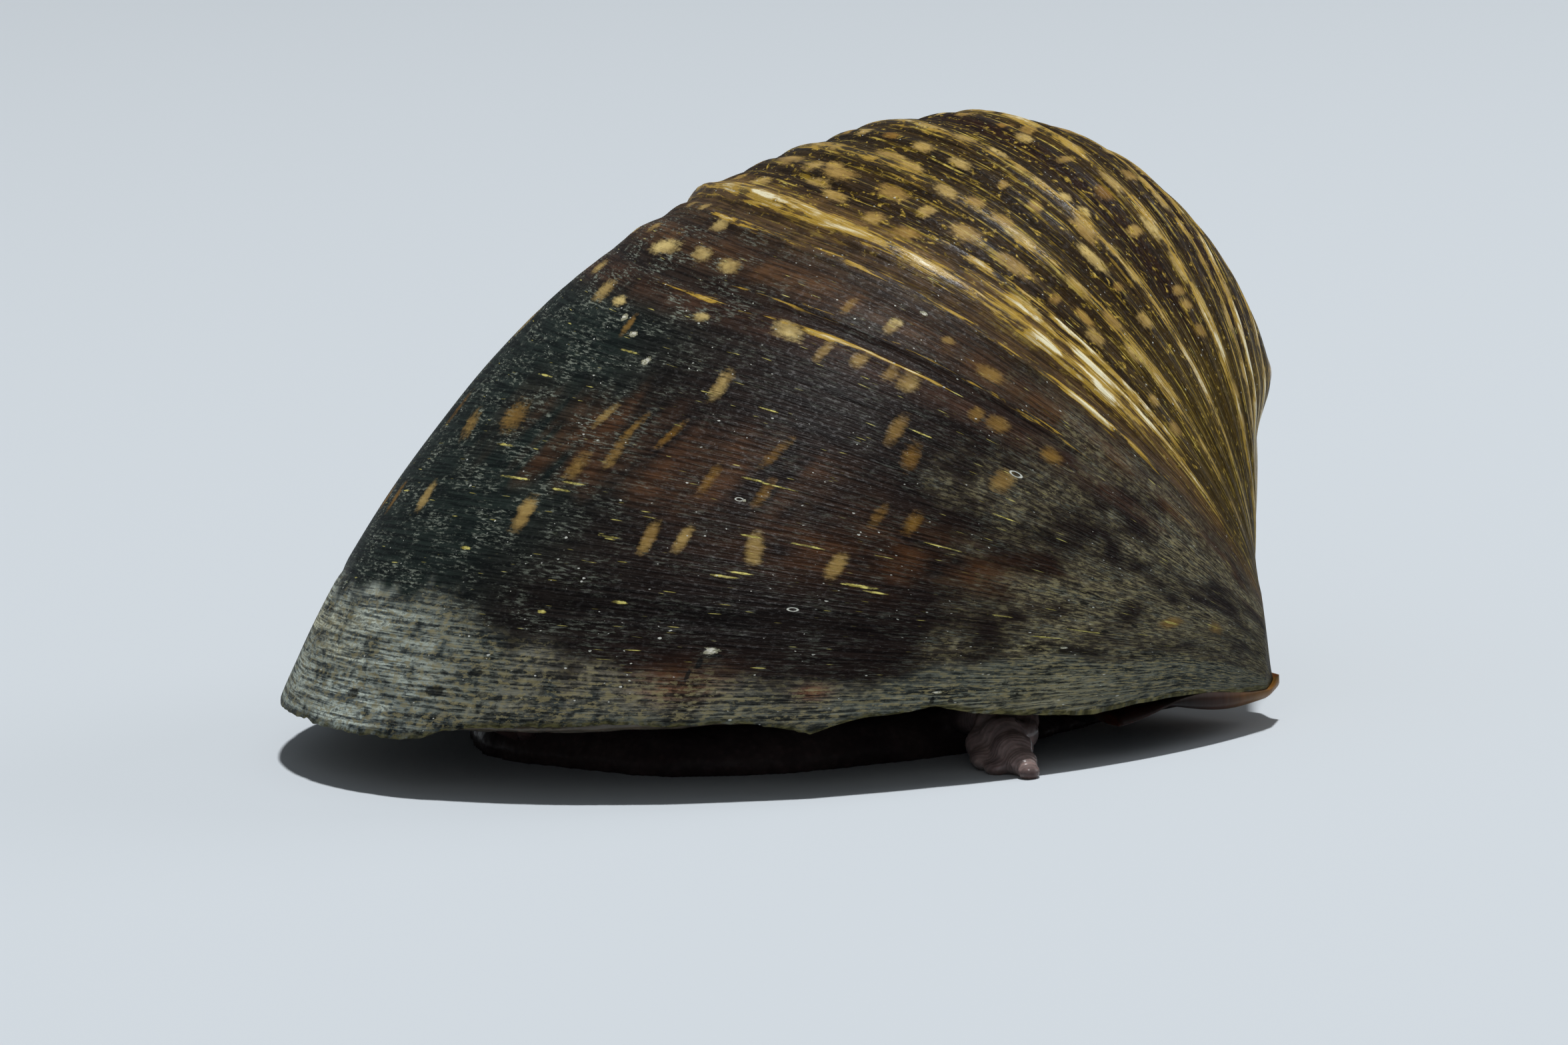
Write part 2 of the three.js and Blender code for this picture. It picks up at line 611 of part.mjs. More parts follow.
function tentaclePiece(side, from, to) {
  const whole = tentacleCurve(side);
  const stations = 8;
  const points = [];
  for (let n = 0; n <= stations; n += 1) {
    points.push(whole.getPointAt(THREE.MathUtils.lerp(from, to, n / stations)));
  }
  const piece = new THREE.CatmullRomCurve3(points);
  const reach = (t) => {
    const along = THREE.MathUtils.lerp(from, to, t);
    const radius = THREE.MathUtils.lerp(TENTACLE_BASE_RADIUS, TENTACLE_TIP_RADIUS, along);
    const tip = to === 1 ? Math.sqrt(Math.max(0.12, 1 - Math.max(0, (t - 0.85) / 0.15) ** 2)) : 1;
    return [radius * tip, radius * tip];
  };
  return sweptBody(piece, 10, 12, reach);
}

// An eye sits on a short stalk at the outer side of the tentacle's base.
function eyeStalkCurve(side) {
  return new THREE.LineCurve3(
    new THREE.Vector3(-9.75, BODY_CENTRE_Y + side * 2.9, 2.7),
    new THREE.Vector3(-9.95, BODY_CENTRE_Y + side * 3.75, 2.95),
  );
}

function eyeStalk(side) {
  return sweptBody(eyeStalkCurve(side), 5, 12, (t) => {
    const radius = 0.46 - 0.08 * t - 0.12 * smoothStep(0.8, 1, t);
    return [radius, radius];
  });
}

function eye(side) {
  const direction = eyeStalkCurve(side).getTangentAt(1);
  const centre = eyeStalkCurve(side).getPointAt(1).addScaledVector(direction, EYE_RADIUS + GAP / 2);
  return new THREE.SphereGeometry(EYE_RADIUS, 14, 10).translate(centre.x, centre.y, centre.z);
}

addNode('shell_body_whorl', shellBodyWhorl(), SHELL_BROWN);
const spire = solidOf(shellSpire()).subtract(filledHood(30, 42, CLEAR));
addNode('shell_spire', geometryFrom(spire), SPIRE_BROWN);
addNode('shell_columellar_deck', columellarDeck(), CALLUS_AMBER);
addNode('operculum', operculum(), OPERCULUM_GREY);

const foot = wholeFoot();
addNode('foot_front', geometryFrom(foot.intersect(block(-20, FOOT_SPLIT_X, -1, 5))), SOLE_GREY);
const footMiddle = foot.intersect(block(FOOT_SPLIT_X + GAP, TAIL_FRONT_X, -1, 5));
addNode('foot_middle', geometryFrom(footMiddle), SOLE_GREY);
addNode('foot_tail', geometryFrom(foot.intersect(block(TAIL_FRONT_X + GAP, 20, -1, 5))), SOLE_GREY);
addNode('foot_left_fold', geometryFrom(leftFold(wholeFoot(GAP))), FLESH_GREY);
addNode('body_column', geometryFrom(bodyColumn()), FLESH_GREY);

const cavity = mantleCavity();
const mantle = filledHood(18, 28, SOFT).intersect(block(-30, 30, MANTLE_LOW_Z, 30)).subtract(cavity);
addNode('mantle', geometryFrom(mantle), FLESH_GREY);
const edgeBlock = block(-30, CAVITY_REAR_X - GAP, MANTLE_EDGE_LOW_Z, MANTLE_EDGE_HIGH_Z);
const mantleEdge = filledHood(20, 32, SOFT, -5).intersect(edgeBlock).subtract(cavity);
addNode('mantle_edge', geometryFrom(mantleEdge), FLESH_GREY);

const head = wholeHead();
addNode('head', geometryFrom(head.intersect(block(HEAD_SPLIT_X, HEAD_REAR_X, -1, 9))), FLESH_GREY);
const snout = head.intersect(block(-20, HEAD_SPLIT_X - GAP, -1, 9)).add(lips()).subtract(mouthSlit());
addNode('snout', geometryFrom(snout), FLESH_GREY);

for (const [sideName, side] of [['left', LEFT], ['right', RIGHT]]) {
  addNode(`tentacle_${sideName}_base`, tentaclePiece(side, 0, 0.48), FLESH_GREY);
  addNode(`tentacle_${sideName}_tip`, tentaclePiece(side, 0.53, 1), FLESH_GREY);
  addNode(`eyestalk_${sideName}`, eyeStalk(side), FLESH_GREY);
  addNode(`eye_${sideName}`, eye(side), EYE_BLACK);
}

// The origin is on the ground, under the middle of the animal's box.
snail.updateMatrixWorld(true);
const middle = new THREE.Box3().setFromObject(snail).getCenter(new THREE.Vector3());
snail.position.set(-middle.x, -middle.y, 0);

export default snail;
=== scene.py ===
"""A dark helmet-shaped nerite snail at life size, resting low on a pale floor.

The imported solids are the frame. Shapes are worked out in millimetres in the snail's own axes, with the
head towards -X, its left side -Y and +Z up, then moved to where the solids are and written in metres.
"""
import functools
import math

import bpy
import numpy as np
from mathutils import Matrix, Vector


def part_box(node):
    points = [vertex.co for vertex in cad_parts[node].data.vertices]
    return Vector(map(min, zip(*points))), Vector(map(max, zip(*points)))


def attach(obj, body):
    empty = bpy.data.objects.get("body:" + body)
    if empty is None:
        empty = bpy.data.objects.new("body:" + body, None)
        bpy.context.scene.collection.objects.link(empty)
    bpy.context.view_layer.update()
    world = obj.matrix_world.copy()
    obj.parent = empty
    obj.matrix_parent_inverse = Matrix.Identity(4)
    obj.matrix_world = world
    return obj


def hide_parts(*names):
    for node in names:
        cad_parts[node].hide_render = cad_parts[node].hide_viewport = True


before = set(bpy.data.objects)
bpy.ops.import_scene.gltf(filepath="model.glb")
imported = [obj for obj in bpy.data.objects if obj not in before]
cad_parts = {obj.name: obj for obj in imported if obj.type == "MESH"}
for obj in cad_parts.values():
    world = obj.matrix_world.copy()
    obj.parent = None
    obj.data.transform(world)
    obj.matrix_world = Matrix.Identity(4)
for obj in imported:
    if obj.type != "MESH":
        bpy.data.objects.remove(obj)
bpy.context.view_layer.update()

# The shell's growth lines fan out about the hinge line between the lip's two rear corners.
HINGE_X = 5.2
LIP_HEIGHT = 1.5
LEFT_CORNER_Y = -9.0
RIGHT_CORNER_Y = 11.3
GROWTH_ANGLES = np.array([-10, 20, 45, 70, 95, 120, 150, 180.0])
GROWTH_REACHES = np.array([24.0, 18.2, 15.4, 13.8, 13.0, 10.65, 6.4, 5.0])
BACK_ANGLE = 180.0
ACROSS_LENGTH = 45.0
SHELL_WALL = 0.9
BODY_CENTRE_Y = 0.9
COLUMN_FRONT_X = -8.3

# Level directions as the camera sees them
VIEW_RIGHT = np.array([0.7786, -0.6276, 0.0])
VIEW_AWAY = np.array([0.6276, 0.7786, 0.0])

column_low, column_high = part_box("body_column")
MODEL_SHIFT = np.array([
    column_low.x * 1000 - COLUMN_FRONT_X,
    (column_low.y + column_high.y) * 500 - BODY_CENTRE_Y,
    0.0,
])


# Numbers on grids

def smooth(low, high, value):
    """0 below low, 1 above high, and an S-curve between."""
    t = np.clip((value - low) / (high - low), 0, 1)
    return t * t * (3 - 2 * t)


def fall(low, high, value):
    """1 below low, 0 above high, and an S-curve between."""
    return 1 - smooth(low, high, value)


def through(places, sizes, x):
    """Cubic through sizes at places. The slope at each is that between its neighbours."""
    inner = (sizes[2:] - sizes[:-2]) / (places[2:] - places[:-2])
    first = (sizes[1] - sizes[0]) / (places[1] - places[0])
    last = (sizes[-1] - sizes[-2]) / (places[-1] - places[-2])
    slopes = np.concatenate([[first], inner, [last]])
    i = np.clip(np.searchsorted(places, x, side="right") - 1, 0, len(places) - 2)
    step = places[i + 1] - places[i]
    t = (x - places[i]) / step
    ends = (2 * t**3 - 3 * t**2 + 1) * sizes[i] + (3 * t**2 - 2 * t**3) * sizes[i + 1]
    return ends + step * ((t**3 - 2 * t**2 + t) * slopes[i] + (t**3 - t**2) * slopes[i + 1])


def grain(u, v, seed, octaves=1):
    """Smooth noise from -1 to 1: seeded random values at whole numbers of u and v, blended between.
    Each octave has half the size and half the strength of the one before."""
    cells = 64
    table = np.random.default_rng(seed).uniform(-1, 1, (cells, cells))
    total = np.zeros(np.broadcast(u, v).shape)
    for octave in range(octaves):
        x, y = u * 2**octave + 7.3 * octave, v * 2**octave + 3.1 * octave
        column, row = np.floor(x).astype(int), np.floor(y).astype(int)
        a, b = smooth(0, 1, x - column), smooth(0, 1, y - row)
        c0, c1, r0, r1 = column % cells, (column + 1) % cells, row % cells, (row + 1) % cells
        low = table[r0, c0] * (1 - a) + table[r0, c1] * a
        high = table[r1, c0] * (1 - a) + table[r1, c1] * a
        total += (low * (1 - b) + high * b) / 2**octave
    return total / (2 - 2.0 ** (1 - octaves))


def hill(value, centre, width):
    """A bell curve of height 1."""
    return np.exp(-(((value - centre) / width) ** 2))


def between(value, low, high, start, end):
    """0 below low, up to 1 between low and high, and down to 0 again between start and end."""
    return smooth(low, high, value) * fall(start, end, value)


def circle(count):
    """Turns spaced evenly round a full circle."""
    return np.linspace(0, 2 * np.pi, count, endpoint=False)


def unit(vectors):
    """Vectors at length 1."""
    return vectors / np.linalg.norm(vectors, axis=-1, keepdims=True)


def spread(*runs):
    """Numbers from 0 to the last run's end, in runs of even steps: each run is its end and its steps."""
    stops = [0, *(end for end, steps in runs)]
    parts = [np.linspace(start, *run, endpoint=False) for start, run in zip(stops, runs)]
    return np.concatenate([*parts, stops[-1:]])


# Meshes

def grid_triangles(rows, columns, start=0, wrap=False, flip=False):
    """Two triangles for each cell of a grid of points counted row by row; wrap joins its last column
    to the first."""
    row = np.arange(rows - 1)[:, None]
    column = np.arange(columns if wrap else columns - 1)[None, :]
    a = start + row * columns + column
    b = start + row * columns + (column + 1) % columns
    c, d = b + columns, a + columns
    triangles = np.stack([a, b, c, a, c, d], -1).reshape(-1, 3)
    return triangles[:, ::-1] if flip else triangles


def add_object(name, data):
    """An object of that name and data, put in the scene."""
    added = bpy.data.objects.new(name, data)
    bpy.context.scene.collection.objects.link(added)
    return added


def mesh_piece(name, points, triangles, uv=None, fields=None):
    """A mesh object from points in millimetres and triangles. Equal points are made one and flat triangles
    dropped; uv stays with the corners, and fields are named values or colours on the points."""
    places = np.asarray(points, float)
    keys = np.round(places * 1e5).astype(np.int64)
    _, first, same = np.unique(keys, axis=0, return_index=True, return_inverse=True)
    corners = same.reshape(-1)[triangles]
    whole = np.all(corners != np.roll(corners, -1, axis=1), axis=1)
    corners, triangles = corners[whole], triangles[whole]
    mesh = bpy.data.meshes.new(name)
    mesh.vertices.add(len(first))
    mesh.vertices.foreach_set("co", ((places[first] + MODEL_SHIFT) / 1000).ravel())
    mesh.loops.add(corners.size)
    mesh.loops.foreach_set("vertex_index", corners.ravel())
    mesh.polygons.add(len(corners))
    mesh.polygons.foreach_set("loop_start", np.arange(0, corners.size, 3))
    mesh.polygons.foreach_set("loop_total", np.full(len(corners), 3))
    mesh.update(calc_edges=True)
    if uv is not None:
        layer = mesh.uv_layers.new(name="growth")
        layer.data.foreach_set("uv", np.asarray(uv, float)[triangles.ravel()].ravel())
    for field, values in (fields or {}).items():
        values = np.asarray(values, float)[first]
        is_colour = values.ndim == 2
        attribute = mesh.attributes.new(field, "FLOAT_COLOR" if is_colour else "FLOAT", "POINT")
        if is_colour:
            values = np.column_stack([values, np.ones(len(values))])
        attribute.data.foreach_set("color" if is_colour else "value", values.ravel())
    mesh.polygons.foreach_set("use_smooth", np.ones(len(corners), bool))
    return add_object(name, mesh)


# Colours and nodes

def linear(code):
    """An sRGB hex colour as linear red, green and blue."""
    parts = np.array([int(code[i:i + 2], 16) for i in (1, 3, 5)]) / 255
    return np.where(parts <= 0.04045, parts / 12.92, ((parts + 0.055) / 1.055) ** 2.4)


def rgba(code):
    return (*linear(code), 1.0)


def painted(ground, *coats):
    """A colour, linear or hex, with coats laid over it in turn: each is a hex colour and its share."""
    colour = linear(ground) if isinstance(ground, str) else ground
    for code, share in coats:
        colour = colour + (linear(code) - colour) * np.clip(share, 0, 1)[..., None]
    return colour


USUAL_SETTINGS = {
    "Mix": {"data_type": "RGBA"}, "MapRange": {"interpolation_type": "SMOOTHSTEP"},
    "TexVoronoi": {"feature": "SMOOTH_F1"},
}


def add_node(tree, kind, *values, out=None, **named):
    """Adds a node and gives its output named out, or else its first one. A kind in capitals is a Math node's
    operation. The values go to its sockets in order, and those named with a capital to the sockets of that
    name; the other named ones are its own settings. A value may be another node's output or a hex colour."""
    settings = {"operation": kind} if kind.isupper() else dict(USUAL_SETTINGS.get(kind, {}))
    settings.update({key: value for key, value in named.items() if key[0].islower()})
    node = tree.nodes.new("ShaderNode" + ("Math" if kind.isupper() else kind))
    for key, value in settings.items():
        setattr(node, key, value)
    given = list(zip([socket for socket in node.inputs if socket.enabled], values))
    given += [(node.inputs[key.replace("_", " ")], value) for key, value in named.items() if key[0].isupper()]
    for socket, value in given:
        if isinstance(value, bpy.types.NodeSocket):
            tree.links.new(value, socket)
        else:
            socket.default_value = rgba(value) if isinstance(value, str) else value
    if out:
        return node.outputs[out]
    return next((socket for socket in node.outputs if socket.enabled), None)


def new_material(name):
    """An empty material, and the function that adds a node to it."""
    material = bpy.data.materials.new(name)
    material.use_nodes = True
    material.node_tree.nodes.clear()
    return material, functools.partial(add_node, material.node_tree)


# Camera

CAMERA_DISTANCE = 280
CAMERA_AIM = np.array([-5.0, 0.0, 5.6])
LENS_LENGTH = 254.14
SHIFT_RIGHT = 0.778
SHIFT_DOWN = 0.147


def photograph_camera():
    """A long lens at the left front and a little above, turned slightly about its own axis. It moves
    sideways and down by under a millimetre, so that the picture needs no lens shift."""
    azimuth, elevation, roll = (math.radians(v) for v in (-38.87, 8.05, -2.18))
    level, rise = math.cos(elevation), math.sin(elevation)
    back = np.array([math.sin(azimuth) * level, -math.cos(azimuth) * level, rise])
    level_right = unit(np.cross(-back, [0, 0, 1]))
    level_up = np.cross(level_right, -back)
    right = level_right * math.cos(roll) + level_up * math.sin(roll)
    up = level_up * math.cos(roll) - level_right * math.sin(roll)
    place = CAMERA_AIM + MODEL_SHIFT + back * CAMERA_DISTANCE + right * SHIFT_RIGHT - up * SHIFT_DOWN
    data = bpy.data.cameras.new("camera")
    data.sensor_width = 36
    data.lens = LENS_LENGTH
    data.clip_start = 0.01
    data.clip_end = 10
    camera = add_object("camera", data)
    axes_and_place = np.stack([right, up, back, place / 1000], -1)
    camera.matrix_world = Matrix([*axes_and_place.tolist(), [0, 0, 0, 1]])
    bpy.context.scene.camera = camera


photograph_camera()


# Shell: its surface

LIP_ROUNDNESS = 0.34
BACK_ROUNDNESS = 0.214
POLE_SHIFT = 0.262


def growth_arc(angle, across):
    """The flattened circle arc that a growth line follows from the left corner to the right one: its
    roundness, how far it runs on past a half circle, and the turn along it."""
    roundness = LIP_ROUNDNESS + (BACK_ROUNDNESS - LIP_ROUNDNESS) * angle / BACK_ANGLE
    overhang = np.arcsin(roundness / (1 - roundness))
    return roundness, overhang, (np.pi + overhang) * (1 - across) - overhang * across


def hood(angle, across, drawn_in=0.0, corners=0.0, lift=0.0):
    """A point of the shell, on the growth arc between the two rear corners. Reach is the distance of the
    arc's middle from the hinge line, and angle tilts it up and back. drawn_in, corners and lift move it
    inwards all round, at the corners and at the hinge."""
    angle, across = np.broadcast_arrays(np.asarray(angle, float), np.asarray(across, float))
    roundness, overhang, turn = growth_arc(angle, across)
    pole_shift = POLE_SHIFT * smooth(20, BACK_ANGLE, angle)
    along = pole_shift + (1 - pole_shift) * (0.5 + 0.5 * np.cos(turn) / np.cos(overhang))
    tilt = np.radians(angle)
    reach = through(GROWTH_ANGLES, GROWTH_REACHES, angle) - drawn_in - lift * (np.cos(tilt) + np.sin(tilt))
    out = reach * (roundness + (1 - roundness) * np.sin(turn))
    y = LEFT_CORNER_Y + corners + (RIGHT_CORNER_Y - LEFT_CORNER_Y - 2 * corners) * along
    return np.stack([HINGE_X - lift - np.cos(tilt) * out, y, LIP_HEIGHT + lift + np.sin(tilt) * out], -1)


def distance_up(stage):
    """How far a growth stage lies up the middle of the shell from the lip, in mm."""
    degrees = np.arange(0, BACK_ANGLE + 1)
    reach = through(GROWTH_ANGLES, GROWTH_REACHES, degrees)
    steps = np.hypot(reach[1:] * math.radians(1), np.diff(reach))
    return np.interp(stage, degrees, np.concatenate([[0], np.cumsum(steps)]))


def corner_drop(rightward):
    """How far the left rear corner hangs down, in mm."""
    return 0.47 * smooth(6.4, 9.1, rightward)


def blunt_corner(points):
    """The shell's left rear corner is blunt, not a spike, and hangs a little lower over the callus."""
    rightward = points @ VIEW_RIGHT
    height = points[..., 2]
    beyond = np.maximum(rightward - 8.85, 0) * fall(6.5, 8.3, height)
    hang = corner_drop(rightward) * fall(1.6, 2.6, height)
    return points - 0.7 * beyond[..., None] * VIEW_RIGHT - hang[..., None] * np.array([0, 0, 1.0])


# The chipped margin: how high the edge stands above the level lip, in degrees, from left corner to right.
MARGIN_ACROSS = np.array([
    0, .03, .06, .09, .115, .14, .16, .18, .2, .212, .2185, .226, .25, .262, .27, .285, .31, .335, .36, .385,
    .41, .43, .446, .46, .5, .56, .62, .68, .72, .78, .84, .9, 1.0,
])
MARGIN_ANGLE = np.array([
    1.8, .4, -.7, -.9, -.6, -1.1, -.2, .6, 1.3, 2.1, 2.5, 2.0, 1.5, .9, .35, 1.1, 1.55, 1.3, 1.5, 1.25, 1.1,
    .95, .55, 0, -.1, 0, -.2, .2, -.5, -.3, -1.0, -1.2, -2.0,
])


def margin_angle(across):
    """The real edge: the chips, and small teeth that get finer and shallower."""
    jag = 0.16 * grain(across * 110, 0 * across + 0.5, 11, 3)
    jag += 0.1 * grain(across * 330, 0 * across + 2.5, 12, 2)
    keep_corners = between(across, 0, 0.03, 0.97, 1)
    return np.interp(across, MARGIN_ACROSS, MARGIN_ANGLE) + jag * keep_corners


def growth_of(angle, across):
    """The growth stage of a point: ridges and rows of marks climb towards the right side, more so higher
    up."""
    climb = 20 * (1 - np.exp(-((np.maximum(across - 0.42, 0) / 0.283) ** 2)))
    return angle - climb * smooth(15, 50, angle)


# Wrinkles of the shell: growth stage, from and to across, height in mm, half-width in degrees and, for a
# crest, how golden it is. The most golden crests are also painted towards cream-white, as a highlight.
CRESTS = [
    (39.1, .30, .41, .07, .35, .9), (39.3, .42, .50, .05, .35, .7), (41.6, .22, .44, .06, .35, .5),
    (44.0, .10, .75, .07, 1.5, .1), (49.0, .18, .52, .07, .55, .7), (53.2, .20, .95, .20, 1.15, 1.0),
    (55.6, .13, .33, .12, .7, .95), (57.8, .17, .38, .12, .6, 1.0), (60.9, .12, .9, .10, 1.3, .1),
    (65.6, .10, .9, .16, 1.3, .55), (68.4, .12, .4, .06, .5, .2), (72.2, .08, .9, .10, .9, .2),
    (76.2, .08, .95, .19, 1.2, .6), (79.5, .1, .5, .07, .5, .1), (84.0, .1, .6, .08, .9, .1),
    (88.0, .07, .95, .22, 1.2, .9), (92.3, .1, .9, .09, .6, .3), (95.6, .08, .95, .15, .9, .7),
    (99.8, .1, .95, .2, 1.1, .9), (104.5, .1, .9, .12, .8, .5), (109.2, .08, .95, .2, 1.3, .7),
    (115.6, .1, .9, .15, 1.1, .4), (121.0, .1, .95, .2, 1.4, .6), (127.8, .1, .9, .13, 1.2, .4),
    (134.0, .1, .95, .18, 1.6, .5), (142.5, .1, .9, .13, 1.5, .3), (151.0, .1, .95, .13, 1.7, .3),
    (161.0, .1, .9, .10, 1.8, .2),
]
GROOVES = [
    (9.4, .1, .9, .04, .5), (40.3, .2, .6, .07, .7), (47.3, .15, .8, .06, 1.2), (51.0, .18, .9, .1, .9),
    (58.8, .12, .95, .09, .6), (63.0, .1, .9, .05, .5), (69.8, .08, .95, .12, 1.2), (74.2, .1, .9, .06, .6),
    (81.0, .07, .95, .16, 1.7), (91.0, .1, .9, .08, .6), (97.6, .08, .9, .09, .7), (102.2, .1, .9, .1, .8),
    (112.4, .1, .9, .1, 1.2), (118.3, .1, .9, .1, .9), (124.4, .1, .9, .11, 1.2), (138.0, .1, .9, .1, 1.5),
]


def wrinkle_relief(growth, across):
    """Height of the wrinkles in mm, how golden their crests are, and where the crests lie. How golden also
    sets how far the shell's material paints a crest towards a cream-white highlight. Each crest is a bell
    across the growth lines with soft ends, wandering a little; fine random pleats fill the upper shell."""
    stage = growth + 0.5 * grain(across * 9, growth * 0.05, 21, 3)
    height, golden, crest = (np.zeros(stage.shape) for _ in range(3))
    for centre, start, end, rise, width, gold in CRESTS:
        uneven = 0.75 + 0.45 * grain(across * 22, 0 * across + centre, 22, 2)
        bell = np.exp(-((np.abs(stage - centre) / width) ** 1.4))
        bell = bell * between(across, start - 0.03, start + 0.03, end - 0.04, end + 0.04) * uneven
        height += rise * bell
        golden = np.maximum(golden, gold * bell * (1 + 0.7 * fall(.2, .34, across)))
        crest = np.maximum(crest, min(rise / 0.14, 1) * bell)
    for centre, start, end, depth, width in GROOVES:
        along = between(across, start - 0.03, start + 0.03, end - 0.04, end + 0.04)
        height -= depth * hill(stage, centre, width) * along
    height += 0.05 * grain(across * 4.5, growth * 0.55, 23, 2) * smooth(46, 62, growth)
    height += 0.015 * grain(across * 14, growth * 1.3, 24, 2) * smooth(20, 50, growth)
    height *= 1 - 0.4 * smooth(56, 64, growth)
    height += 0.05 * grain(across * 3, growth * 0.09, 25, 2)
    return height, golden, crest


def flatten_at_corners(angle, across):
    """Relief fades where the growth lines run together at the two rear corners."""
    roundness, _, turn = growth_arc(angle, across)
    return np.clip(roundness + (1 - roundness) * np.sin(turn), 0, 1) ** 0.8


SPIRE_ANGLE = 122.0
SPIRE_ACROSS = 0.79
SPIRE_RADIUS = 2.6
WHORL_GROWTH = 2.3


def spire_relief(points):
    """The spire as a rise of the shell, from the distance and turn about its own axis: a low cone with one
    round bulge a whorl, on a spiral that grows 2.3 times a turn, and a sunk seam round it. Gives the rise,
    whether a point is on the spire, its place across the whorl, its share of the spire's radius, and how
    golden it is."""
    centre = hood(SPIRE_ANGLE, SPIRE_ACROSS)
    along_growth = hood(SPIRE_ANGLE + 0.05, SPIRE_ACROSS) - hood(SPIRE_ANGLE - 0.05, SPIRE_ACROSS)
    along_line = hood(SPIRE_ANGLE, SPIRE_ACROSS + 0.001) - hood(SPIRE_ANGLE, SPIRE_ACROSS - 0.001)
    axis = unit(np.cross(along_growth, along_line))
    side = unit(np.cross([0, 0, 1], axis))
    up = np.cross(axis, side)
    offset = points - centre
    x, y, height = offset @ side, offset @ up, offset @ axis
    radius = np.hypot(x, y)
    share = radius / SPIRE_RADIUS
    turns = np.log(np.maximum(share, 0.03)) / np.log(WHORL_GROWTH) + np.arctan2(y, x) / (2 * np.pi)
    across_whorl = turns - np.floor(turns)
    bulge = 0.3 * radius * np.sin(np.pi * across_whorl) ** 0.6
    cap = 0.3 + 1.0 * (1 - np.minimum(share, 1) ** 1.5) + bulge
    near = smooth(-4.0, -2.5, height)
    edge = np.sqrt(np.clip(1 - share**5, 0, 1))
    seam = 0.24 * hill(share, 1.06, 0.06)
    lines = grain(turns * 64, share * 2, 27, 2)
    flecks = np.sin(22 * np.pi * turns) * (0.65 + 0.35 * np.sin(6 * np.pi * turns + 1))
    gold = 0.3 * smooth(0, .5, lines) + smooth(.25, .7, flecks) * hill(across_whorl, 0.55, 0.22)
    rise = near * (cap * edge - seam + 0.012 * lines * edge)
    return rise, near * (share < 1.12), across_whorl, share, gold


# Shell: its colours

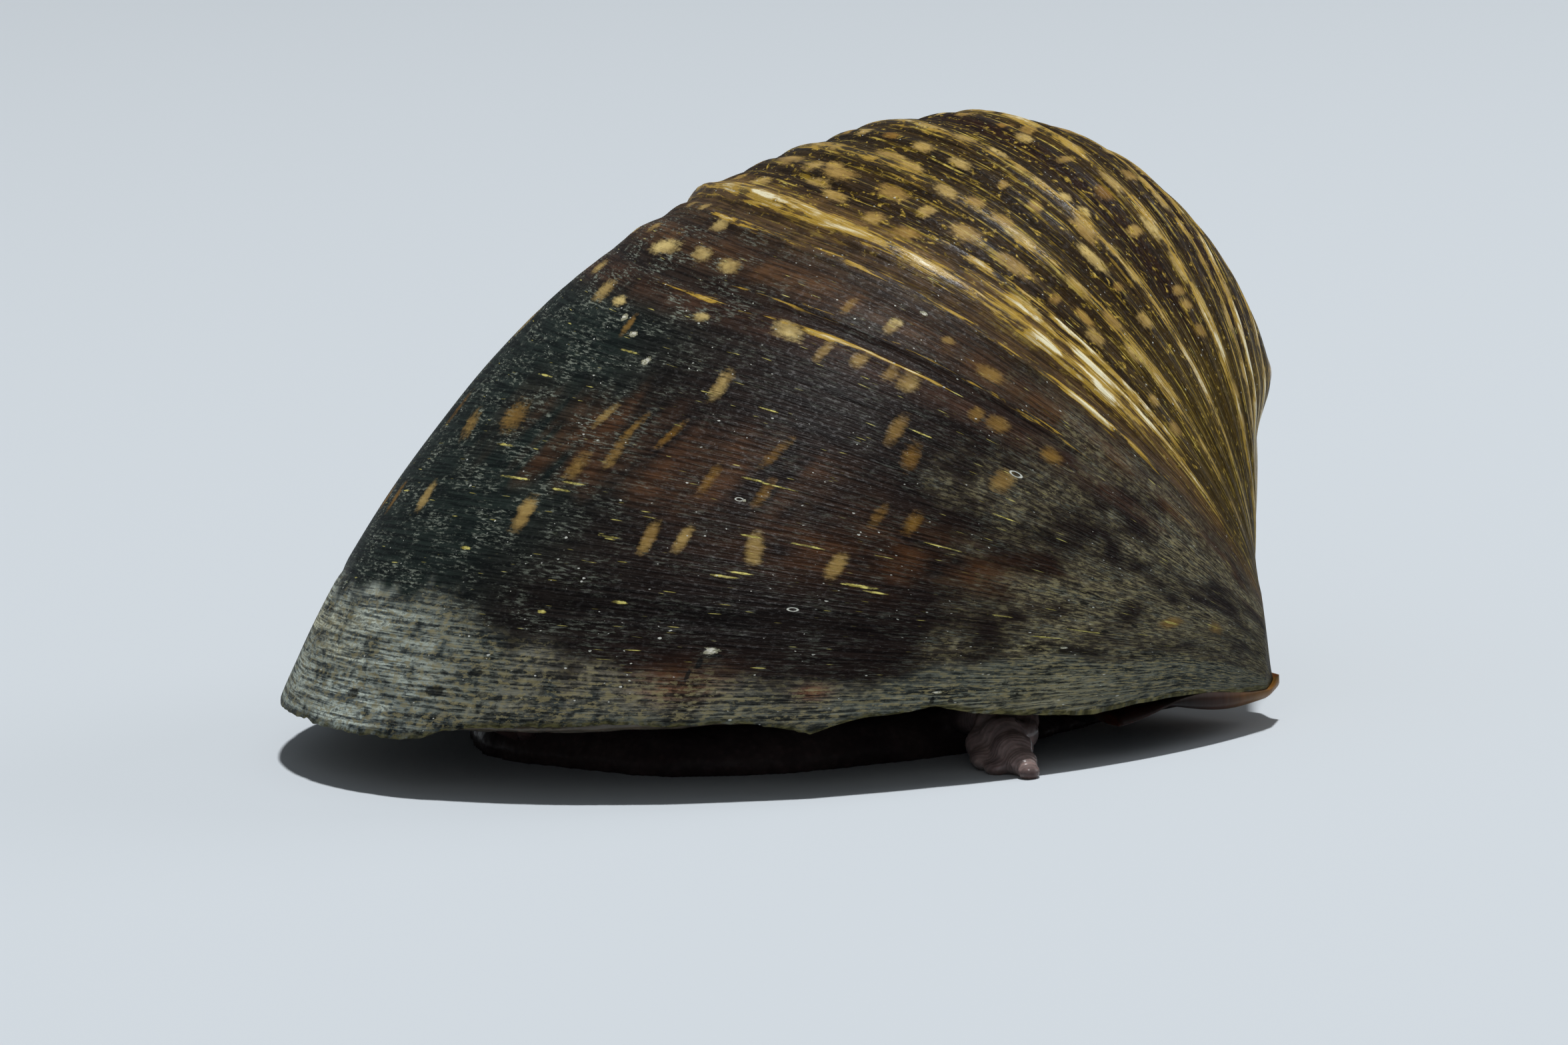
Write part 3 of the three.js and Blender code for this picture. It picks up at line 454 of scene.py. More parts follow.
# Flecks and blotches of the shell: across, angle, half-width, half-height in degrees, lean, and paleness from
# 0 for ochre to 1 for cream.
MARKS = [
    (.292, 16.0, .0045, 1.5, 0, .25), (.333, 16.2, .0050, 1.6, .0035, .35), (.369, 16.0, .0035, 1.3, 0, .3),
    (.386, 15.7, .0040, 1.5, .001, .2), (.463, 16.0, .0055, 1.5, .001, .35),
    (.552, 16.3, .0055, 1.3, .001, .5), (.433, 22.2, .0040, 1.6, 0, .15),
    (.433, 24.6, .0030, 1.8, -.003, .05), (.410, 24.8, .0030, 1.6, -.003, .0),
    (.455, 25.3, .0035, 1.4, -.003, .3), (.450, 20.5, .0055, 1.4, 0, .15),
    (.352, 25.5, .0035, 2.0, -.003, .0), (.403, 30.6, .0045, 1.8, .001, .5),
    (.242, 31.2, .0065, 1.8, 0, .2), (.290, 29.6, .0050, 1.9, .002, .0), (.270, 22.3, .0045, 1.5, 0, .0),
    (.287, 22.0, .0035, 1.5, 0, .05), (.305, 32.0, .0045, 2.1, .001, .15),
    (.085, 20.5, .006, 2.2, .002, .2), (.115, 18.0, .006, 1.9, -.003, .15), (.520, 24, .010, 1.6, .002, .1),
    (.560, 23, .008, 1.5, .004, .2), (.345, 21.5, .0035, 1.6, 0, .0), (.375, 21.6, .0035, 1.6, 0, .0),
    (.228, 38.0, .0075, 1.3, 0, .05), (.262, 38.2, .0070, 1.2, 0, .1), (.275, 38.0, .0045, 1.1, 0, .1),
    (.316, 37.8, .0065, 1.3, 0, .3), (.327, 38.0, .0045, 1.1, 0, .2), (.346, 38.0, .0050, 1.1, 0, .2),
    (.366, 37.4, .0035, 1.4, 0, .3), (.392, 38.3, .0105, 1.1, .003, .8), (.445, 37.0, .0055, .55, 0, 1),
    (.512, 37.2, .0065, .7, .003, .9), (.536, 38.6, .0080, 1.5, .003, .5),
    (.487, 34.6, .0030, 1.4, .001, .1), (.284, 44.0, .0090, 1.1, 0, .1), (.345, 44.1, .0045, .7, 0, .8),
    (.345, 43.0, .004, .9, 0, .4), (.458, 43.6, .0085, 1.0, .003, .55), (.484, 44.4, .0085, 1.0, .003, .6),
    (.522, 45.0, .0150, 1.1, .004, .9), (.374, 43.6, .003, 1.4, 0, .1), (.315, 45.2, .004, .8, 0, .2),
    (.500, 49.4, .0080, 1.0, .001, .7), (.388, 56.2, .0090, 1.2, -.002, .2),
    (.413, 56.3, .0075, 1.3, .001, .35), (.452, 57.8, .011, 1.0, .004, .4),
    (.477, 59.6, .012, .9, .005, .55), (.300, 56.4, .0120, .7, 0, 1.0), (.215, 57.4, .006, .8, 0, .3),
    (.258, 60.8, .0075, 1.3, 0, .5), (.292, 60.7, .0040, 1.2, 0, .2), (.325, 60.9, .0155, 1.3, 0, .35),
    (.363, 61.0, .0120, 1.5, 0, .35), (.394, 60.9, .0055, 1.4, 0, .5), (.424, 61.5, .0130, 1.5, .004, .25),
    (.484, 63.2, .009, 1.3, .006, .4), (.183, 60.8, .006, 1.4, 0, .3), (.205, 61, .005, 1.2, 0, .35),
    (.272, 62.0, .009, 1.0, 0, .2), (.290, 65.4, .0130, .9, 0, .7), (.340, 65.5, .0135, 1.0, 0, .9),
    (.356, 66.2, .010, 1.1, 0, .3), (.380, 66.2, .0075, 1.2, 0, .25), (.400, 65.4, .010, 1.0, .003, .6),
    (.440, 67.2, .0120, 1.2, .006, .5), (.462, 68.3, .0150, 1.2, .006, .45), (.235, 64.4, .009, 1.0, 0, .6),
    (.215, 65.4, .012, 1.0, 0, .3), (.260, 65.6, .009, 1.1, 0, .3), (.250, 72.0, .0070, 1.3, 0, .45),
    (.278, 72.0, .0040, 1.1, 0, .2), (.303, 72.1, .0150, 1.1, 0, .9), (.357, 72.4, .0060, 1.2, .002, .3),
    (.385, 72.2, .0040, 1.0, .001, .35), (.280, 76.2, .0080, .8, 0, .9), (.302, 76.1, .007, .7, 0, .8),
    (.325, 75.2, .0140, 1.2, .003, .35), (.338, 77.9, .0065, 1.0, 0, 1.0), (.354, 77.4, .0055, 1.1, 0, .9),
    (.372, 76.3, .009, .8, .002, .5), (.392, 76.4, .006, .8, .002, .6), (.416, 77.1, .010, .8, .004, .8),
    (.228, 84.2, .0055, 1.6, 0, .25), (.248, 84.0, .0045, 1.6, 0, .3), (.259, 84.1, .0045, 1.6, 0, .3),
    (.311, 83.6, .0055, 1.6, 0, .35), (.310, 87.0, .0130, 1.0, 0, .95), (.276, 87.2, .0140, .9, 0, .7),
    (.247, 88.2, .0120, 1.2, 0, .95), (.212, 88.2, .0080, 1.5, 0, .6), (.358, 87.2, .0130, .9, 0, .6),
    (.404, 87.8, .0120, 1.1, .003, .75), (.438, 86.0, .007, 1.6, .003, .25), (.162, 88, .007, 2.0, 0, .4),
    (.183, 88.5, .007, 2.0, 0, .35), (.345, 95.5, .012, 1.6, .004, .6), (.37, 93.0, .008, 1.6, .004, .25),
]

# Rows of blotches that go on round the right side: growth stage, from across, half-height, paleness, wider.
ROWS = [
    (16, .58, 1.4, .3, 1), (24, .6, 1.6, .1, 1), (31, .6, 1.6, .3, 1), (38, .57, 1.2, .3, 1.3),
    (44, .55, 1.0, .5, 1.4), (49.2, .52, .8, .5, 1), (56, .5, 1.0, .4, 1.2), (61, .47, 1.3, .35, 1.8),
    (66, .5, 1.2, .5, 1.5), (72, .42, 1.1, .4, 1.2), (76.5, .44, 1.0, .6, 1.4), (84, .34, 1.4, .3, 1),
    (88, .43, 1.0, .8, 1.6), (95.5, .12, 1.2, .5, 1.4), (100, .12, 1.2, .5, 1.5),
    (109.5, .12, 1.4, .6, 1.6), (116, .12, 1.2, .3, 1.3), (121.5, .12, 1.6, .6, 1.6),
    (128, .12, 1.3, .3, 1.2), (134.5, .14, 1.7, .5, 1.6), (143, .14, 1.6, .3, 1.3),
    (152, .14, 1.7, .4, 1.4),
]


def all_marks():
    """The single marks, then seeded ones along each row: random steps across, sizes and paleness."""
    marks = [(*mark, False) for mark in MARKS]
    draw = np.random.default_rng(41)
    for stage, start, tall, pale, wide in ROWS:
        across = start + draw.uniform(0, 0.02)
        while across < 0.97:
            marks.append((
                across, stage + draw.normal(0, 0.25), draw.uniform(0.004, 0.009) * wide,
                tall * draw.uniform(0.7, 1.15), 0.0, np.clip(pale + draw.normal(0, 0.2), 0, 1), True,
            ))
            across += draw.uniform(0.016, 0.05)
    return marks


OUTSIDE_MARKS = -1.5


def mark_fields(angle, growth, across):
    """How far inside a mark each point is, from 1 at its middle through 0 at its edge to -1.5 well outside,
    and the paleness of the nearest. A mark is a box with very round corners that may lean."""
    inside = np.full(angle.shape, OUTSIDE_MARKS)
    pale = np.zeros(angle.shape)
    squareness = 2.6
    for place, centre, half_width, half_height, lean, paleness, in_row in all_marks():
        height = ((growth if in_row else angle) - centre) / half_height
        width = (across - place - lean * height) / half_width
        depth = 1 - (np.abs(width) ** squareness + np.abs(height) ** squareness) ** (1 / squareness)
        strength = np.interp(centre, [17, 19, 29, 33, 50, 56], [1, .45, .5, .8, .8, 1])
        depth = np.where(depth > 0, depth * strength, depth)
        nearer = depth > inside
        inside = np.where(nearer, depth, inside)
        pale = np.where(nearer, paleness, pale)
    return inside, pale


def shell_colours(angle, growth, across):
    """The shell's ground colour before its fine lines and marks, and how worn it is: bands by growth stage,
    broken and shaded by soft noise, stretched along the growth lines or across them."""
    u, v = across * ACROSS_LENGTH, growth * 0.3
    soft = grain(u * 0.35, v * 0.35, 31, 3)
    streaks = grain(u * 2.2, v * 0.3, 32, 2)
    lines = grain(u * 0.25, v * 3.0, 33, 2)
    slanted = grain((across + 0.0019 * angle) * ACROSS_LENGTH * 1.9, v * 0.5, 36, 3)
    amber = smooth(17, 20.5, growth + streaks) * fall(23, 29, growth + 2.5 * streaks)
    amber = amber * smooth(.27, .36, across + 0.03 * soft) * fall(.46, .56, across)
    right_amber = hill(across, .265, .075) * hill(growth, 18.2 + 14 * (.265 - across), 3.2)
    colour = painted(
        "#1d1614", ("#1d2523", smooth(.38, .5, across + 0.04 * soft) * fall(38, 48, growth)),
        ("#261e1b", smooth(33, 40, growth) * 0.8), ("#2a1f10", smooth(52, 64, growth) * 0.9),
        ("#4b3322", amber * np.clip(0.35 + 1.1 * slanted, 0, 1)),
        ("#4a2f1b", right_amber * np.clip(0.7 + 1.2 * grain(u * 1.1, v * 1.8, 37, 3), 0, 1)),
    )
    # Bands: growth stage, half-width in degrees, colour, strength
    for stage, width, code, strength in (
        (38, 1.6, "#4a3326", .7), (44.2, 2.0, "#5a4029", .75), (49.8, 2.4, "#59452f", .65),
        (54.0, 2.4, "#86683a", .6), (61, 2.2, "#4b3718", .4), (66, 2.2, "#52401a", .4),
        (75.5, 3.2, "#4b391a", .45), (82.0, 2.5, "#26140f", .85), (87.5, 2.2, "#5f491c", .5),
        (98, 5, "#2c1a13", .7), (110, 4, "#45361e", .5), (126, 7, "#362a1c", .5), (150, 14, "#4a3920", .5),
    ):
        share = hill(growth, stage, width) * strength * (0.7 + 0.5 * streaks)
        colour = painted(colour, (code, share))
    olive = smooth(50, 64, growth) * fall(.17, .27, across + 0.04 * soft)
    worn = fall(.17, .28, across + 0.06 * soft + 0.03 * streaks) * between(growth, 2, 5, 40, 52)
    worn = worn * smooth(-0.4, 0.45, grain(u * 1.1, v * 1.1, 34, 3) + 0.15)
    # The limy band round the lip, whose ragged top stands higher at some places
    top = np.interp(across, [0, .12, .2, .25, .38, .43, .5, 1], [10, 9, 7.5, 5.2, 5.4, 6.6, 8.8, 9.4])
    ragged = 1.3 * soft + 0.4 * streaks + 2.2 * grain(u * 1.3, v * 1.6, 38, 5)
    band = fall(top - 1.3, top + 1.0, growth + ragged)
    brown = between(across, .24, .34, .42, .5) * band
    pale = band * smooth(.38, .54, across + 0.08 * soft) * fall(.66, .8, across)
    yellow = pale * hill(growth, 5.5, 1.6) * smooth(.5, .58, across)
    stain = smooth(0.12, 0.36, grain(u * 1.9, v * 2.4, 35, 4)) * band
    colour = painted(
        colour, ("#4c3c12", olive * 0.85), ("#565042", worn * 0.75), ("#474a45", band * 0.9),
        ("#3f352c", brown * np.clip(0.5 + soft, 0, 1)),
        ("#888f8b", pale * np.clip(0.7 + 0.5 * lines + 0.3 * soft, 0, 1)),
        ("#98937a", yellow * np.clip(0.4 + lines, 0, 1)), ("#1c2326", stain * 0.8),
    )
    # Stains about the lip: across, growth stage, half-width, half-height, colour
    for place, stage, wide, tall, code in (
        (.475, 8.4, .012, .9, "#14181a"), (.49, 2.5, .014, .5, "#1c2022"), (.50, 3.1, .008, .35, "#15191b"),
        (.592, 5, .012, .8, "#2a2c2c"), (.565, 7.6, .02, .7, "#20282c"), (.452, .9, .016, .8, "#1a2024"),
        (.335, 4.6, .02, 1.6, "#5a3a26"), (.33, 3.0, .008, 3.5, "#15120f"), (.275, 4, .008, .7, "#5a3520"),
        (.345, 10, .1, 2.4, "#120f0f"), (.17, 9.5, .03, .6, "#15120f"), (.12, 9.5, .02, .8, "#15120f"),
    ):
        colour = painted(colour, (code, hill(across, place, wide) * hill(growth, stage, tall) * 0.8))
    colour = painted(colour, ("#77715a", hill(across, .165, .03) * hill(growth, 3, 4) * 0.3))
    dusty = smooth(.37, .5, across + 0.04 * soft) * fall(42, 54, growth) * (1 - 0.5 * pale)
    dusty = np.clip(0.25 + 0.75 * dusty + 0.5 * worn - smooth(46, 60, growth), 0, 1)
    return colour, np.clip(worn + 0.75 * band, 0, 1), band, dusty


def shell_piece():
    """The whole shell, spire included, in one closed wall. The outer face is a fine grid of the hood's
    formula, pushed out by its wrinkles; the inner face is a coarser grid a wall's thickness inside; rims
    join them."""
    across = spread((.1, 20), (.56, 176), (.68, 22), (.92, 54), (1, 10))
    start = margin_angle(across)
    from_edge = (BACK_ANGLE - start) * spread((.02, 6), (.56, 212), (1, 87))[:, None]
    angle = start + from_edge
    across = np.broadcast_to(across, angle.shape)
    base = hood(angle, across)
    step_angle = hood(angle + 0.05, across) - hood(angle - 0.05, across)
    step_across = hood(angle, np.minimum(across + 0.0005, 1)) - hood(angle, np.maximum(across - 0.0005, 0))
    outward = np.cross(step_angle, step_across)
    outward /= np.maximum(np.linalg.norm(outward, axis=-1, keepdims=True), 1e-9)
    growth = growth_of(angle, across)
    height, golden, crest = wrinkle_relief(growth, across)
    spire_height, on_spire, whorl, spire_share, spire_gold = spire_relief(base)
    height = height * fall(0, 1, on_spire) + spire_height
    height = height * flatten_at_corners(angle, across) * between(from_edge, 0, 3, 174 - start, 180 - start)
    outer = base + outward * height[..., None]

    inside, pale = mark_fields(angle, growth, across)
    colour, worn, band, dusty = shell_colours(angle, growth, across)
    # Painted shade: the seams between the spire's whorls and round its edge are darkened to near black along
    # their grooves.
    seam = smooth(.34, .48, np.abs(whorl - .5)) * smooth(.1, .3, spire_share)
    spire_colour = painted(
        "#2c2115", ("#a8803c", spire_gold), ("#8d8470", fall(.1, .42, spire_share)),
        ("#130f0c", seam * 0.8), ("#130f0c", smooth(.96, 1.03, spire_share)),
    )
    colour = colour + (spire_colour - colour) * on_spire[..., None]
    inside = np.where(on_spire > 0.5, OUTSIDE_MARKS, inside)
    golden = np.where(on_spire > 0.5, 0.0, golden)
    edge_distance = np.radians(from_edge) * np.hypot(base[..., 0] - HINGE_X, base[..., 2] - LIP_HEIGHT)
    upper = smooth(46, 60, growth) * (1 - 0.25 * smooth(78, 92, growth)) * (1 - 0.85 * on_spire)

    inner_share = np.concatenate([[0, .006, .015, .03, .06], np.linspace(.1, 1, 15)])
    inner_from_edge = (BACK_ANGLE - start) * inner_share[:, None]
    inner_angle = start + inner_from_edge
    inner_across = np.broadcast_to(across[0], inner_angle.shape)
    wall = 0.2 + 0.3 * smooth(0, 3, inner_from_edge) + 0.4 * smooth(0, 14, inner_from_edge)
    inner = hood(inner_angle, inner_across, wall, SHELL_WALL, 0.5)
    thin_edge = hood(inner_angle, inner_across, wall, 0.25, 0.12)
    inner = thin_edge + (inner - thin_edge) * smooth(0, 2.5, inner_from_edge)[..., None]

    rows, columns = angle.shape
    inner_rows = len(inner)
    count, inner_count = rows * columns, inner_rows * columns
    points = blunt_corner(np.concatenate([outer.reshape(-1, 3), inner.reshape(-1, 3)]))
    edge = np.arange(columns - 1)
    strips = [grid_triangles(rows, columns), grid_triangles(inner_rows, columns, count, flip=True)]
    last, inner_last = (rows - 1) * columns + edge, count + (inner_rows - 1) * columns + edge
    for a, b in ((edge, count + edge), (inner_last, last)):
        strips.append(np.stack([a, b, b + 1, a, b + 1, a + 1], -1).reshape(-1, 3))
    uv = [np.stack([across * ACROSS_LENGTH, distance_up(growth)], -1).reshape(-1, 2),
          np.stack([inner_across * ACROSS_LENGTH, distance_up(inner_angle)], -1).reshape(-1, 2)]
    inner_colour = np.broadcast_to(linear("#8f8a7c"), (inner_count, 3))
    fields = {"ground": np.concatenate([colour.reshape(-1, 3), inner_colour])}
    for name, values, inner_value in (
        ("mark", inside, OUTSIDE_MARKS), ("pale", pale, 0.0), ("gold", golden, 0.0), ("worn", worn, 0.0),
        ("band", band, 0.0), ("rim", fall(0.07, 0.18, edge_distance), 0.0), ("upper", upper, 0.0),
        ("dusty", dusty, 0.0), ("crest", crest * smooth(40, 52, growth), 0.0), ("nacre", 0 * angle, 1.0),
    ):
        fields[name] = np.concatenate([values.reshape(-1), np.full(inner_count, inner_value)])
    return mesh_piece("shell", points, np.concatenate(strips), np.concatenate(uv), fields)


# Algae dashes, hollows, rings and crumbs of grit: across, growth stage, half-length and half-thickness in mm.
# The hollows, pits and a crack by the lip, have no relief: they are painted near black as shade.
DASHES = [
    (.339, 13.4, .34, .045), (.333, 13.9, .30, .04), (.382, 10.3, .20, .05), (.2765, 14.4, .42, .06),
    (.268, 14.0, .30, .045), (.31, 17.4, .40, .04), (.338, 17.3, .28, .04), (.34, 22.4, .55, .03),
    (.354, 22.5, .30, .04), (.485, 18.7, .55, .04), (.45, 18.3, .30, .04), (.51, 21.2, .35, .04),
    (.18, 11.3, .40, .04), (.42, 9.0, .12, .07), (.488, 12.8, .18, .06), (.2935, 32.7, .38, .03),
    (.1155, 18.0, .30, .10), (.087, 20.6, .26, .10), (.445, 19.0, .35, .04), (.16, 13.0, .45, .04),
    (.205, 13.5, .30, .035), (.25, 20.5, .5, .03), (.405, 15.2, .3, .035), (.47, 31.5, .35, .04),
    (.52, 27.5, .3, .035), (.37, 29.5, .3, .03), (.23, 26.5, .35, .03),
]
SHADED_HOLLOWS = [
    (.331, 6.2, .07, .18), (.334, 5.2, .05, .25), (.3265, 6.9, .22, .06), (.2205, 3.0, .05, .20),
    (.2165, 3.6, .30, .05), (.2120, 2.9, .07, .10), (.168, 17.7, .14, .12), (.150, 13.5, .12, .09),
    (.135, 15.5, .10, .10), (.29, 3.4, .35, .05), (.275, 2.6, .25, .04), (.46, 3.0, .30, .16),
    (.44, 4.4, .22, .10), (.52, 2.2, .25, .12),
]
RINGS = [(.238, 32.9, .17, .11), (.3545, 20.4, .10, .06), (.3005, 11.3, .12, .07)]
CRUMBS = [
    (.3285, 7.2, .16, .13), (.2195, 3.9, .10, .06), (.352, 20.4, .05, .05), (.338, 47.2, .12, .08),
    (.455, 31.0, .12, .14), (.478, 33.2, .14, .10), (.495, 34.5, .12, .12), (.167, 10.0, .10, .07),
]


def spots_at(node, uv, places, wobble):
    """How near each point is to the nearest of some small ovals: 0 at a middle, 1 on an edge."""
    nearest = None
    for across, stage, half_length, half_thickness in places:
        scale = (1 / half_length, 1 / half_thickness, 0)
        middle = (-across * ACROSS_LENGTH * scale[0], -float(distance_up(stage)) * scale[1], 0)
        moved = node("Mapping", uv, Location=middle, Scale=scale)
        distance = node("VectorMath", moved, operation="LENGTH")
        nearest = distance if nearest is None else node("MINIMUM", nearest, distance)
    return node("ADD", nearest, wobble)


def shell_material():
    """Periostracum, the thin horny skin over a limy shell, grown in fine lines and worn off towards the lip.
    It gives near-black brown with a low satin gloss, thin growth lines, and ochre marks under it."""
    material, node = new_material("periostracum")
    uv = node("UVMap", uv_map="growth")
    # Patterns: features a mm across and along the growth, octaves, roughness, bend. Growth lines lie 0.11 to
    # 0.13 mm apart.
    (fine, finer, wide, cross, patch, grit, beads, cloud, mottle, grains, small, thread, strand, lengthwise,
     dash, speck) = (
        node("TexNoise", node("Mapping", uv, Scale=(x, y, 1)), 1.0, octaves, rough, Distortion=bend)
        for x, y, octaves, rough, bend in (
            (0.35, 8.5, 2.0, 0.6, 0), (1.3, 17.0, 1.5, 0.6, 0), (0.16, 2.4, 2.0, 0.55, 0),
            (3.2, 1.4, 4.0, 0.65, 0), (1.2, 1.6, 4.0, 0.62, 0), (6.0, 9.0, 3.0, 0.65, 0),
            (3.6, 8.0, 2.0, 0.6, 0), (0.9, 1.3, 6.0, 0.7, 0), (3.6, 6.4, 5.0, 0.72, 0),
            (3.4, 15.0, 3.0, 0.7, 0), (2.6, 4.6, 3.0, 0.6, 0.4), (0.42, 6.2, 2.0, 0.55, 0.2),
            (0.7, 7.5, 4.0, 0.62, 0.3), (0.9, 1.6, 4.0, 0.6, 0), (1.5, 15.0, 1.0, 0.4, 0),
            (8.0, 11.0, 0.0, 0.5, 0),
        )
    )
    pebbles = node("TexVoronoi", uv, 4.6)
    band, worn, gold, upper, dusty, crest, mark, pale, rim, nacre = (
        node("Attribute", attribute_name=name, out="Fac")
        for name in ("band", "worn", "gold", "upper", "dusty", "crest", "mark", "pale", "rim", "nacre")
    )
    ground = node("Attribute", attribute_name="ground", out="Color")
    line = node("MULTIPLY_ADD", fine, 0.65, node("MULTIPLY", finer, 0.35))
    # How far each lies from its middle
    line_off, beads_off, grit_off, mottle_off, strand_off, cloud_off = (
        node("SUBTRACT", pattern, 0.5) for pattern in (line, beads, grit, mottle, strand, cloud)
    )

    light = node("MapRange", node("MULTIPLY_ADD", beads_off, node("MULTIPLY", band, 0.25), line), 0.41, 0.60)
    dark_lines = node("Mix", band, (0.45, 0.45, 0.48, 1), (0.28, 0.31, 0.34, 1))
    light_lines = node("Mix", band, (1.3, 1.27, 1.22, 1), (2.3, 2.32, 2.2, 1))
    colour = node("Mix", 1.0, ground, node("Mix", light, dark_lines, light_lines), blend_type="MULTIPLY")
    # Worn skin: small pale rounded spots, thick where it is worn most, among dark holes
    spots = node("MULTIPLY", node("MapRange", pebbles, 0.12, 0.38, 1, 0), node("MapRange", patch, 0.42, 0.62))
    holes = node("MULTIPLY", node("MapRange", pebbles, 0.10, 0.35, 1, 0), node("MapRange", patch, 0.45, 0.34))
    holes = node("MAXIMUM", holes, node("MapRange", mottle, 0.46, 0.40))
    # A blue-grey bloom of algae and scratches in clouds of fine grains
    dust = node("MULTIPLY", node("MapRange", grains, 0.50, 0.62), node("MapRange", cloud, 0.45, 0.60))
    olive = node("MULTIPLY", node("MapRange", grit, 0.52, 0.4), node("MapRange", cloud, 0.60, 0.7))
    for share, place, strength, tint in (
        (spots, worn, 0.85, "#8d876e"), (node("MapRange", mottle, 0.51, 0.57), worn, 0.9, "#7f7757"),
        (holes, worn, 0.85, "#12120f"), (dust, dusty, 0.8, "#80867a"), (olive, dusty, 0.5, "#3c4230"),
    ):
        colour = node("Mix", node("MULTIPLY", share, node("MULTIPLY", place, strength)), colour, tint)
    # Blotches lie under the skin: round boxes with soft, uneven edges, crossed by the dark growth lines
    ragged = mark
    for pattern, strength in ((grit_off, 0.8), (line_off, 0.9), (mottle_off, 0.9)):
        ragged = node("MULTIPLY_ADD", pattern, strength, ragged)
    tint = node("Mix", pale, "#7c5c26", "#dac482")
    tint = node("Mix", node("MULTIPLY", upper, 0.55), tint, node("Mix", pale, "#a67a2c", "#e6c878"))
    tint = node("Mix", node("MapRange", patch, 0.4, 0.65, 0.45, 0), tint, "#5d401c")
    colour = node("Mix", node("MapRange", ragged, -0.20, 0.55, 0, 0.9), colour, tint)
    # Small olive and gold mottles among the wrinkles of the upper shell, and thin golden lines along the
    # growth there, most of them on the crests
    speckled = node("MULTIPLY", node("MapRange", small, 0.57, 0.67), node("MULTIPLY", upper, 0.9))
    thread = node("MapRange", node("MULTIPLY_ADD", gold, 0.12, thread), 0.57, 0.67, 0, 0.85)
    thread = node("MULTIPLY", node("MULTIPLY", thread, upper), node("MapRange", cross, 0.35, 0.6, 0.25, 1.0))
    # Golden crests, broken into uneven lengths of several threads each; where strongest they run to
    # cream-white, a painted highlight along the crest tops
    strength = node("MULTIPLY", gold, node("MapRange", lengthwise, 0.36, 0.58, 0.45, 1.15))
    strength = node("MULTIPLY_ADD", strand_off, 2.6, strength)
    crest_width = node("MapRange", gold, 0.06, 0.2)
    crest_gold_and_highlight = node("MULTIPLY", node("MapRange", strength, 0.30, 0.62, 0, 0.93), crest_width)
    # Yellow-green dashes of algae in the growth lines, small ones and larger ones, then grit and its marks
    dash = node("MapRange", node("MULTIPLY_ADD", band, -0.1, dash), 0.725, 0.78, 0, 0.75)
    seen, loop, hollow, crumb = (
        spots_at(node, uv, places, node("MULTIPLY", grit_off, wobble))
        for places, wobble in ((DASHES, 1.8), (RINGS, 0.27), (SHADED_HOLLOWS, 1.62), (CRUMBS, 2.34))
    )
    broken = node("MapRange", cross, 0.36, 0.56, 0.3, 1)
    seen = node("MULTIPLY", node("MapRange", seen, 1.05, 0.6, 0, 0.95), broken)
    loop = node("MULTIPLY", node("MapRange", loop, 1.15, 0.95), node("MapRange", loop, 0.62, 0.8))
    crumb = node("MapRange", crumb, 1.1, 0.8)
    # Pale specks of grit, which also stand as painted glints for the fine sparkle on the dark shell.
    speck = node("MapRange", node("MULTIPLY_ADD", cloud_off, 0.5, speck), 0.83, 0.88, 0, 0.9)
    rim = node("MULTIPLY", rim, node("MapRange", cross, 0.36, 0.56, 0.35, 1))
    for share, tint in (
        (speckled, node("Mix", node("MapRange", grit, 0.42, 0.62), "#5c4c18", "#c8a848")),
        (thread, node("Mix", node("MapRange", fine, 0.45, 0.7), "#8a7022", "#dec864")),
        # the crests' gold runs to cream-white where strongest: a painted highlight
        (crest_gold_and_highlight, node("Mix", node("MapRange", strength, 0.65, 1.35), "#b08f38", "#f8f0cc")),
        (node("MAXIMUM", dash, seen), node("Mix", node("MapRange", beads, 0.4, 0.6), "#8f8440", "#d6cd78")),
        # hollows painted near black: painted shade in pits with no relief
        (loop, "#c9ccc2"), (node("MapRange", hollow, 1.15, 0.7, 0, 0.85), "#0f1112"),
        (crumb, node("Mix", node("MapRange", grit, 0.45, 0.6), "#8d8c76", "#d6d4c6")), (speck, "#c4c6be"),
        (node("MapRange", rim, 0.3, 0.8, 0, 0.85),
         node("Mix", node("MapRange", beads, 0.42, 0.62), "#3a3720", "#6d6740")),
        (nacre, node("Mix", wide, "#55544c", "#8b877a")),
    ):
        colour = node("Mix", share, colour, tint)

    glint = node("MapRange", grit, 0.5, 0.68, 0.04, 0.24)
    glint = node("MULTIPLY_ADD", node("MULTIPLY", crest, crest), 0.6, glint)
    rough = node("MULTIPLY_ADD", crest, -0.26, node("MapRange", worn, 0.0, 0.9, 0.46, 0.6))
    rough = node("MULTIPLY_ADD", grit_off, 0.25, rough)
    tall = 0.0
    for pattern, height in (
        (fine, 0.6), (finer, 0.25), (wide, 0.3), (grit, 0.25), (node("MULTIPLY", strand, upper), 2.2),
        (crumb, 1.5), (node("MULTIPLY", pebbles, worn), -0.3),
    ):
        tall = node("MULTIPLY_ADD", pattern, height, tall)
    bump = node("Bump", Height=tall, Strength=1.0, Distance=0.00004)
    node("OutputMaterial", node(
        "BsdfPrincipled", Base_Color=colour, Roughness=rough, Specular_IOR_Level=glint, IOR=1.5, Normal=bump,
    ))
    return material


def finish_piece(piece, material, slot, *nodes):
    """Gives a piece its material, lets it stand for its solids, and rides it on the one body. The slot is not
    used.
    """
    piece.data.materials.append(material)
    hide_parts(*nodes)
    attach(piece, "root")


# Callus deck, operculum, eyes

